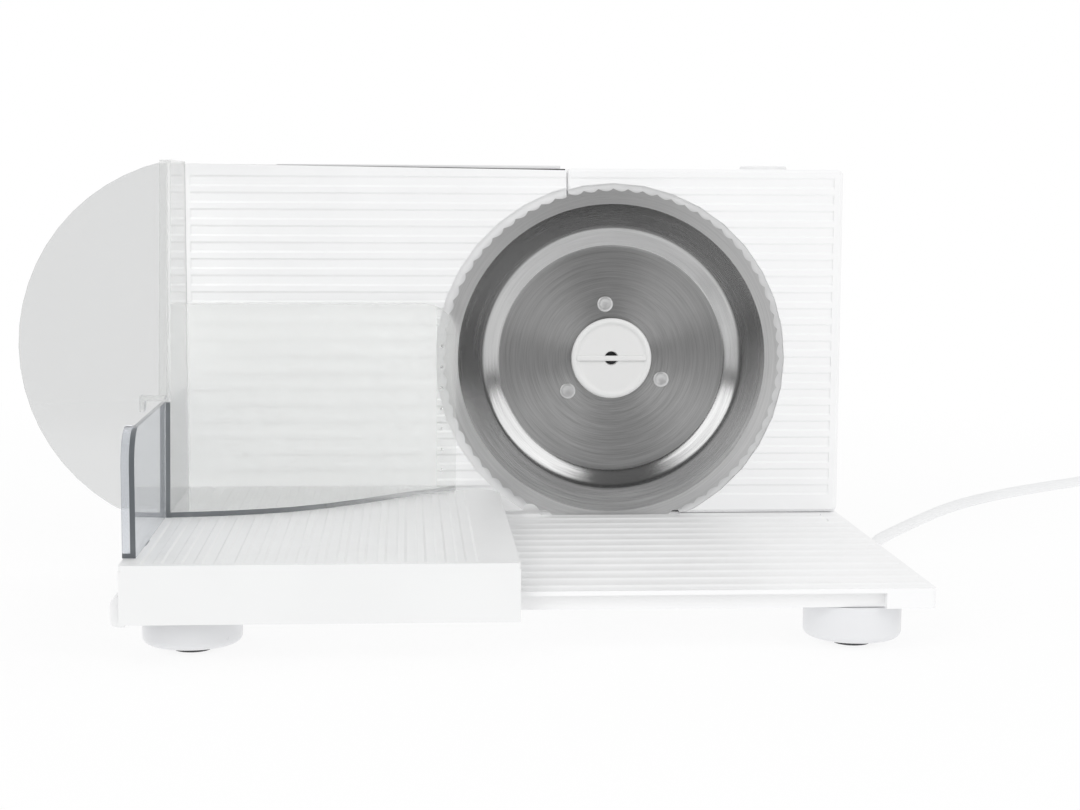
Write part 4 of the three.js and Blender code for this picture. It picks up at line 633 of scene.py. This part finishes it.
def make_cord():
    line = cord_line()
    length = sum((b - a).length for a, b in zip(line, line[1:])) * MM
    data = bpy.data.curves.new("mains_lead", "CURVE")
    data.dimensions = "3D"
    data.bevel_depth = CORD_RADIUS * MM
    data.bevel_resolution = 4
    data.use_fill_caps = True
    spline = data.splines.new("POLY")
    spline.points.add(len(line) - 1)
    for point, spot in zip(spline.points, line):
        point.co = (*place(*spot), 1.0)
    spline.use_smooth = True
    data.materials.append(SHEATH)
    lead = bpy.data.objects.new("mains_lead", data)
    bpy.context.scene.collection.objects.link(lead)
    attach(lead, "frame")
    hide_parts("cord_run", "cord_coil")
    return length


def make_strain_relief():
    """A neck inside the base, then a taper along the lead with six grooves."""
    neck, neck_from = 4.2, 66.8
    start, length, thick, thin, soft, grooves = 80.3, 30.0, 5.2, 3.9, 0.3, 6
    end = start + length
    groove = ((0.05, -1.5), (-0.2, -1.2), (-0.75, -1.1), (-0.75, -0.2), (-0.2, -0.1), (0.0, 0.2))
    profile = [(0, neck_from), (neck, neck_from), (neck, start)]
    profile += [(thick - soft, start), (thick, start + soft)]
    for i in range(1, grooves + 1):
        share = i / (grooves + 1)
        radius = thick + (thin - thick) * share
        profile += [(radius + out, start + share * length + along) for out, along in groove]
    profile += [(thin + 0.05, end - 0.4), (thin - soft, end), (0, end)]
    _, y, z = CORD_EXIT
    relief = turned_piece("cord_bend_relief", "x", y, z, profile, SHEATH, "frame",
                          ("strain_relief",), SIDES["relief"])


# Blade

TEETH, TOOTH_STEPS = 72, 10
TOOTH_DEPTH, SHEET = 1.4, 1.2
VALLEY_SHARE = 0.42  # where in a tooth's pitch its valley is deepest
BEVEL_SLOPE, EDGE_SHEET = 0.1, 0.22
# Radius and Y of the front face, from the hole out to where the ground bevel starts
BLADE_FACE = [
    (9.2, 2.7), (30.0, 2.7), (54.6, 2.7), (55.8, 2.66), (56.8, 2.5), (57.7, 2.18), (58.6, 1.74),
    (63.2, -0.52), (64.0, -0.88), (64.8, -1.13), (65.8, -1.27), (67.0, -1.3), (72.0, -1.3),
    (77.0, -1.3), (77.3, -1.27),
]
# Radii where the disc ends, then the slope, then the band
ZONE_LIMITS = (56.5, 65.5, 77.2)
RIVETS, RIVET_CIRCLE, RIVET_START = 3, 27.5, 97.0
# Radius and Y of a rivet: a low domed head with a rim, and a shank
RIVET_PROFILE = [
    (0, 2.02), (1.5, 1.98), (2.1, 1.82), (2.6, 1.70), (3.2, 1.72), (3.65, 1.86), (3.9, 2.1),
    (3.9, 2.68), (2.0, 2.68), (2.0, 7.5), (0, 7.5),
]


def scallop(u):
    """How deep the edge dips at a share of a tooth's pitch: sharp tips and round valleys."""
    if u < VALLEY_SHARE:
        return math.sin(math.pi / 2 * u / VALLEY_SHARE)
    return math.cos(math.pi / 2 * (u - VALLEY_SHARE) / (1.0 - VALLEY_SHARE))


def make_blade():
    columns = TEETH * TOOTH_STEPS
    bevel_radius, bevel_y = BLADE_FACE[-1]
    rows = [[point] * columns for point in BLADE_FACE]
    edge_front, edge_back = [], []
    for j in range(columns):
        rim = BLADE_RADIUS - TOOTH_DEPTH * scallop((j % TOOTH_STEPS) / TOOTH_STEPS)
        y = bevel_y + (rim - bevel_radius) * BEVEL_SLOPE
        edge_front.append((rim, y))
        edge_back.append((rim, y + EDGE_SHEET))
    rows += [edge_front, edge_back]
    rows += [[(r, y + SHEET)] * columns for r, y in reversed(BLADE_FACE)]
    verts = []
    for row in rows:
        for j, (r, y) in enumerate(row):
            angle = 2 * math.pi * j / columns
            verts.append(place(r * math.cos(angle), y, BLADE_Z + r * math.sin(angle)))
    faces = ring_faces(len(rows), columns, True)
    slots = []
    for i in range(len(rows)):
        middle = (rows[i][0][0] + rows[(i + 1) % len(rows)][0][0]) / 2
        slots += [sum(middle > limit for limit in ZONE_LIMITS)] * columns
    steels = [DISC_STEEL, SLOPE_STEEL, BAND_STEEL, EDGE_STEEL]
    blade = mesh_piece("serrated_blade", verts, outward(verts, faces), steels, "blade",
                       ("slicing_blade",), sharp=40.0, face_slots=slots)


def make_rivets():
    for i in range(RIVETS):
        a = rad(RIVET_START + 360.0 / RIVETS * i)
        x, z = RIVET_CIRCLE * math.cos(a), BLADE_Z + RIVET_CIRCLE * math.sin(a)
        rivet = turned_piece(f"rivet_head_{i + 1}", "y", x, z, RIVET_PROFILE, RIVET, "blade",
                             (f"blade_rivet_{i + 1}",), SIDES["rivet"], sharp=45.0)


# Lock knob

HOLE_END = 3.9
# Radius and Y of the knob: the hole's end, painted black as the shade deep in the hole, and its
# wall, the sunk face, the rim, the back, the stem, and the end again
KNOB_PROFILE = [
    (0, HOLE_END), (3.2, HOLE_END), (3.4, 1.8), (3.7, 1.42),
    (15.6, 1.40), (16.6, 1.30), (17.2, 0.95), (17.6, 0.62), (18.0, 0.42), (18.6, 0.32),
    (19.2, 0.42), (19.8, 0.75), (20.15, 1.25), (20.2, 1.8), (20.2, 2.4),
    (8.6, 2.4), (8.6, 9.6), (4.3, 9.6), (4.3, 4.05), (0, 4.05),
]
# The grip bar: half its length and height, Y of its front and back, and its rounding
BAR_REACH, BAR_HALF, BAR_FRONT, BAR_BACK, BAR_SOFT, BAR_STEPS = 17.4, 1.3, 0.34, 1.5, 0.5, 4


def make_grip_bar():
    """Vertices and faces of the bar along X, whose two front edges are rounded."""
    low, high, soft = BLADE_Z - BAR_HALF, BLADE_Z + BAR_HALF, BAR_SOFT
    middle = BAR_FRONT + soft
    section = [(middle - soft * s, low + soft - soft * c) for s, c in quarter(BAR_STEPS)]
    section += [(middle - soft * c, high - soft + soft * s) for s, c in quarter(BAR_STEPS)]
    section += [(BAR_BACK, high), (BAR_BACK, low)]
    verts = [place(x, y, z) for x in (-BAR_REACH, BAR_REACH) for y, z in section]
    count = len(section)
    return verts, outward(verts, ring_faces(2, count) + end_faces(2, count))


def make_knob():
    """The lock knob: a soft rim, a sunk face, a grip bar, and a deep hole whose end is painted
    black as the hole's shade.
    """
    verts, faces = closed_lathe("y", 0.0, BLADE_Z, KNOB_PROFILE, SIDES["knob"])
    faces = outward(verts, faces)
    depth = place(0, HOLE_END, BLADE_Z).y
    # Faces at the hole's end take the black slot: painted shade in the hole
    slots = [int(all(abs(verts[i].y - depth) < 0.01 * MM for i in face)) for face in faces]
    bar_verts, bar_faces = make_grip_bar()
    shift = len(verts)
    verts += bar_verts
    faces += [tuple(i + shift for i in f) for f in bar_faces]
    slots += [0] * len(bar_faces)
    knob = mesh_piece("blade_knob", verts, faces, [KNOB, BLACK], "lock_knob",
                      ("blade_lock_knob",), sharp=35.0, face_slots=slots)


# Feet

FOOT_RADIUS, FOOT_TOP, FOOT_BOTTOM = 20.7, -8.8, -24.2
FOOT_ROUND, FOOT_STEPS = 3.0, 6
FEET = {
    "front_left": (-192.0, -172.0),
    "front_right": (85.8, -172.0),
    "rear_left": (-192.0, 50.0),
    "rear_right": (85.8, 50.0),
}
PAD_RADIUS = 8.2
# Radius of the pad and height over the table, from its hollow to its top
PAD_PROFILE = [
    (0, 1.4), (2.4, 1.15), (4.1, 0.4), (4.8, 0.0), (7.7, 0.0), (8.05, 0.2), (PAD_RADIUS, 0.6),
    (PAD_RADIUS, 4.5), (6.8, 5.9), (0, 5.9),
]


def make_feet():
    """Four feet with a round lower edge and a well, and a rubber pad in each well."""
    inner, well = PAD_RADIUS + SEAT_GAP, FOOT_BOTTOM + FOOT_ROUND
    edge, soft = 0.3, 0.4
    foot_profile = [(0, well), (inner, well), (inner, FOOT_BOTTOM + edge)]
    foot_profile.append((inner + edge, FOOT_BOTTOM))
    for s, c in quarter(FOOT_STEPS):
        foot_profile.append((FOOT_RADIUS - FOOT_ROUND + FOOT_ROUND * s, well - FOOT_ROUND * c))
    foot_profile += [(FOOT_RADIUS, FOOT_TOP - soft), (FOOT_RADIUS - soft, FOOT_TOP), (0, FOOT_TOP)]
    pad_profile = [(radius, TABLE + height) for radius, height in PAD_PROFILE]
    for where, (x, y) in FEET.items():
        foot = turned_piece(f"round_foot_{where}", "z", x, y, foot_profile, FOOT, "frame",
                            (f"foot_{where}",), SIDES["foot"])
        pad = turned_piece(f"suction_pad_{where}", "z", x, y, pad_profile, RUBBER, "frame",
                           (f"foot_pad_{where}",), SIDES["pad"])


# Buttons and spring

BUTTON_TOP, BUTTON_RIM_TOP = 175.9, 171.1
# Radius and drop from the button's top, over its soft edge
BUTTON_EDGE = [(12.0, 0.9), (11.85, 0.5), (11.5, 0.28), (10.6, 0.16), (7.0, 0.04), (0, 0.0)]
LOCK_Z = 148.0
HOUSING_BACK, WALL = 74.0, 2.4
LOCK_RIM_BACK = HOUSING_BACK - 2 * WALL - SEAT_GAP
# Radius and Y of the lock button's end, over its soft edge
LOCK_EDGE = [(7.0, 76.3), (6.8, 76.75), (6.4, 76.95), (0, 77.0)]
WIRE_RADIUS, WIRE_SIDES = 0.6, 12
SPRING_RADIUS, SPRING_TURNS, SPRING_STEPS = 6.2, 4, 32


def make_buttons():
    """The power button on top and the lock button behind, each with a stem and an inner rim."""
    stem, stem_bottom, rim, rim_bottom = 2.5, 163.4, 14.0, 168.7
    profile = [(0, stem_bottom), (stem, stem_bottom), (stem, rim_bottom), (rim, rim_bottom)]
    profile += [(rim, BUTTON_RIM_TOP), (BUTTON_EDGE[0][0], BUTTON_RIM_TOP)]
    profile += [(radius, BUTTON_TOP - drop) for radius, drop in BUTTON_EDGE]
    button = turned_piece("power_key", "z", *POWER_BUTTON, profile, WHITE, "power_button",
                          ("power_button",), SIDES["power"])
    stem, stem_length, rim, rim_length = 3.5, 6.0, 9.0, 2.4
    stem_front, rim_front = LOCK_RIM_BACK - stem_length, LOCK_RIM_BACK - rim_length
    profile = [(0, stem_front), (stem, stem_front), (stem, rim_front), (rim, rim_front)]
    profile += [(rim, LOCK_RIM_BACK), (LOCK_EDGE[0][0], LOCK_RIM_BACK), *LOCK_EDGE]
    lock = turned_piece("lock_key", "y", BUTTON_X, LOCK_Z, profile, WHITE, "lock_button",
                        ("lock_button",), SIDES["lock"])


def make_spring():
    """The power button's return spring, drawn at its rest length."""
    low, high = (Vector(corner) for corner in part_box("power_button_spring"))
    wire, sides, steps = WIRE_RADIUS, WIRE_SIDES, SPRING_TURNS * SPRING_STEPS
    centre_x, centre_y = POWER_BUTTON
    verts = []
    for i in range(steps + 1):
        a = 2 * math.pi * i / SPRING_STEPS
        height = low.z + wire * MM + (high.z - low.z - 2 * wire * MM) * i / steps
        for j in range(sides):
            b = 2 * math.pi * j / sides
            out = SPRING_RADIUS + wire * math.cos(b)
            spot = place(centre_x + out * math.cos(a), centre_y + out * math.sin(a), 0.0)
            spot.z = height + wire * math.sin(b) * MM
            verts.append(spot)
    faces = ring_faces(steps + 1, sides) + end_faces(steps + 1, sides)
    spring = mesh_piece("return_spring", verts, outward(verts, faces), [STEEL], "frame",
                        ("power_button_spring",))
    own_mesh(spring)


# Thin trim, and a black strip painted as a shadow

LIP_INNER, LIP_FRONT, LIP_BACK, LIP_STEPS = 82.0, 2.2, 3.4, 64
LIP_LOWEST = 0.15
# Name, body, outer radius, first and last angle, and how far right the lip may reach
LIPS = (
    ("gauge_arc_lip", "gauge", 88.65, 105.4, 240.0, -23.45),
    ("recess_lip", "frame", 87.65, -66.0, 105.0, 90.0),
)
# Ends of the gauge plate's top edge, and the height over it of the black strip painted as the
# shadow in the gap, from left to right
GAUGE_EDGE = ((-212.2, 175.2), (-23.4, 172.9))
GAP_SHADOW_HEIGHTS = (
    (-190.0, 0.09), (-138.0, 0.20), (-88.0, 0.38), (-53.0, 0.40), (-31.0, 0.58), (-23.5, 0.65),
)
GAP_SHADOW_FRONT, GAP_SHADOW_BACK, GAP_SHADOW_SUNK = 7.2, 8.3, 0.3


def make_lips():
    """Thin lips behind the teeth, on the gauge plate's arc and round the housing's recess."""
    for name, body, outer, first, last, right in LIPS:
        corners = (
            (LIP_INNER, LIP_FRONT), (outer, LIP_FRONT), (outer, LIP_BACK), (LIP_INNER, LIP_BACK),
        )
        verts = []
        for i in range(LIP_STEPS + 1):
            angle = rad(first + (last - first) * i / LIP_STEPS)
            for radius, y in corners:
                x = min(radius * math.cos(angle), right)
                verts.append(place(x, y, max(BLADE_Z + radius * math.sin(angle), LIP_LOWEST)))
        faces = ring_faces(LIP_STEPS + 1, 4) + end_faces(LIP_STEPS + 1, 4)
        lip = mesh_piece(name, verts, outward(verts, faces), [WHITE], body)


def make_gap_shadow():
    """A black strip: painted shadow in the gap between the gauge plate's top edge and the bar
    behind it, wider to the right.
    """
    (left, left_top), (right, right_top) = GAUGE_EDGE
    verts = []
    for x, height in GAP_SHADOW_HEIGHTS:
        edge = left_top + (right_top - left_top) * (x - left) / (right - left)
        low, high = edge - GAP_SHADOW_SUNK, edge + height
        for y, z in ((GAP_SHADOW_FRONT, low), (GAP_SHADOW_FRONT, high), (GAP_SHADOW_BACK, high), (GAP_SHADOW_BACK, low)):
            verts.append(place(x, y, z))
    rows = len(GAP_SHADOW_HEIGHTS)
    faces = ring_faces(rows, 4) + end_faces(rows, 4)
    # Black plastic where there is only the gap's shade: painted shadow
    gap_shadow = mesh_piece("gauge_top_gap_shadow", verts, outward(verts, faces), [BLACK], "gauge")


# Studio, in metres

# The fill that matt surfaces get: level with the slicer, from above, and from behind it
FILL_LEVEL, FILL_TOP, FILL_BEHIND = 0.33, 0.95, 0.90
# What metal mirrors: a dark room in front, with a lighter ceiling
ROOM_DARK, ROOM_CEILING = 0.06, 0.25
# Parts of a direction's Y over which the room turns white, and of its Z where the ceiling starts
AHEAD, CEILING = (-0.25, 0.35), (0.5, 0.85)
TABLE_SIZE, TABLE_COLOUR = 20.0, shade(0.92)
# The table glows white near the slicer to this share, and wholly further away
NEAR_SHARE, NEAR, FAR = 0.84, 0.25, 0.9
# What it gives to matt surfaces: the share of the glow, and its strength
MATT_SHARE, TABLE_GLOW = 0.8, 1.1
# The dark gap that metal mirrors in the table: its limits in |X / Y| and in Y
GAP_SIDES, GAP_FRONT = (0.45, 0.75), (-0.65, -0.38)
# Name, place, width and height, and radiance of each lamp, and what they are turned to
LAMPS = (
    ("left_softbox", (-1.78, -1.98, 1.45), (2.05, 2.3), 1.72),
    ("right_softbox", (1.95, -1.8, 1.45), (1.9, 2.3), 1.58),
)
LAMP_TARGET = (0.0, 0.0, 0.08)
DIFFUSE_BOUNCES = 8


def make_floor():
    """A softly lit white table, which keeps the object's shadow and turns white further away.

    Where the camera would stand, the metal mirrors a dark gap.
    """
    material, t = new_material("studio_floor")
    matt = t.add("ShaderNodeBsdfDiffuse", {"Color": TABLE_COLOUR})
    white = t.add("ShaderNodeEmission", {"Color": shade(1.0), "Strength": 1.0})
    path = t.add("ShaderNodeLightPath")
    seen = t.math("ADD", path.outputs["Is Camera Ray"], path.outputs["Is Glossy Ray"], True)
    seen = t.math("ADD", seen, path.outputs["Is Transmission Ray"], True)
    away = t.add("ShaderNodeVectorMath", {0: t.here()}, operation="LENGTH").outputs["Value"]
    split = t.add("ShaderNodeSeparateXYZ", {"Vector": t.here()})
    sideways = t.math("ABSOLUTE", t.math("DIVIDE", split.outputs[0], split.outputs[1]))
    gap = t.math("MULTIPLY", t.span(sideways, *GAP_SIDES, 1.0, 0.0),
                 t.span(split.outputs[1], *GAP_FRONT, 1.0, 0.0))
    mirrored = t.math("MULTIPLY", gap, t.mirror_rays(path))
    dimmed = t.span(mirrored, 0.0, 1.0, 1.0, ROOM_DARK)
    glow = t.math("MULTIPLY", path.outputs["Is Diffuse Ray"], TABLE_GLOW - 1.0)
    t.tree.links.new(t.math("ADD", dimmed, glow), white.inputs["Strength"])
    share = t.math("MULTIPLY", seen, t.span(away, NEAR, FAR, NEAR_SHARE, 1.0))
    share = t.math("MAXIMUM", share, mirrored)
    matt_share = t.math("MULTIPLY", path.outputs["Is Diffuse Ray"], MATT_SHARE)
    share = t.math("MAXIMUM", share, matt_share)
    t.show(t.add("ShaderNodeMixShader", {0: share, 1: matt.outputs[0], 2: white.outputs[0]}))
    material.cycles.emission_sampling = "NONE"
    data = bpy.data.meshes.new("studio_floor")
    a = TABLE_SIZE
    data.from_pydata([(-a, -a, 0), (a, -a, 0), (a, a, 0), (-a, a, 0)], [], [(0, 1, 2, 3)])
    data.materials.append(material)
    floor = bpy.data.objects.new("studio_floor", data)
    bpy.context.scene.collection.objects.link(floor)


def make_world():
    """White to the eye, also through clear plastic, a fill that is stronger from above for matt
    surfaces, and for the metal to mirror a room that is white behind the slicer and dark in
    front of it."""
    world = bpy.data.worlds.new("studio")
    world.use_nodes = True
    world.cycles.sampling_method = "NONE"
    bpy.context.scene.world = world
    t = Tree(world.node_tree)
    way = t.add("ShaderNodeTexCoord").outputs["Generated"]
    split = t.add("ShaderNodeSeparateXYZ", {"Vector": way})
    ahead = t.span(split.outputs[1], *AHEAD, 0.0, 1.0)
    ceiling = t.span(split.outputs[2], *CEILING, 0.0, 1.0)
    front = t.blend(ceiling, shade(ROOM_DARK), shade(ROOM_CEILING))
    room = t.blend(ahead, front, shade(1.0))
    above = t.span(split.outputs[2], 0.0, 1.0, 0.0, 1.0)
    fill = t.blend(above, shade(FILL_LEVEL), shade(FILL_TOP))
    fill = t.blend(ahead, fill, shade(FILL_BEHIND))
    path = t.add("ShaderNodeLightPath")
    lit = t.blend(t.mirror_rays(path), fill, room)
    seen = t.math("MAXIMUM", path.outputs["Is Camera Ray"], path.outputs["Is Transmission Ray"])
    colour = t.blend(seen, lit, shade(1.0))
    background = t.add("ShaderNodeBackground", {"Color": colour, "Strength": 1.0})
    t.add("ShaderNodeOutputWorld", {"Surface": background.outputs[0]})


def make_lamp(name, spot, size, radiance):
    width, height = size
    data = bpy.data.lights.new(name, "AREA")
    data.shape = "RECTANGLE"
    data.size, data.size_y = width, height
    data.energy = radiance * math.pi * width * height
    lamp = bpy.data.objects.new(name, data)
    lamp.location = spot
    way = Vector(LAMP_TARGET) - Vector(spot)
    lamp.rotation_euler = way.to_track_quat("-Z", "Y").to_euler()
    bpy.context.scene.collection.objects.link(lamp)


def make_studio():
    make_floor()
    make_world()
    for lamp in LAMPS:
        make_lamp(*lamp)
    bpy.context.scene.cycles.diffuse_bounces = DIFFUSE_BOUNCES
    bpy.context.scene.view_settings.view_transform = "Standard"


make_camera()
cord_length = make_cord()
make_strain_relief()
dress_packed_parts()
make_blade()
make_rivets()
make_knob()
make_feet()
make_buttons()
make_lips()
make_gap_shadow()
make_spring()
make_studio()
print("cord length", round(cord_length, 4))
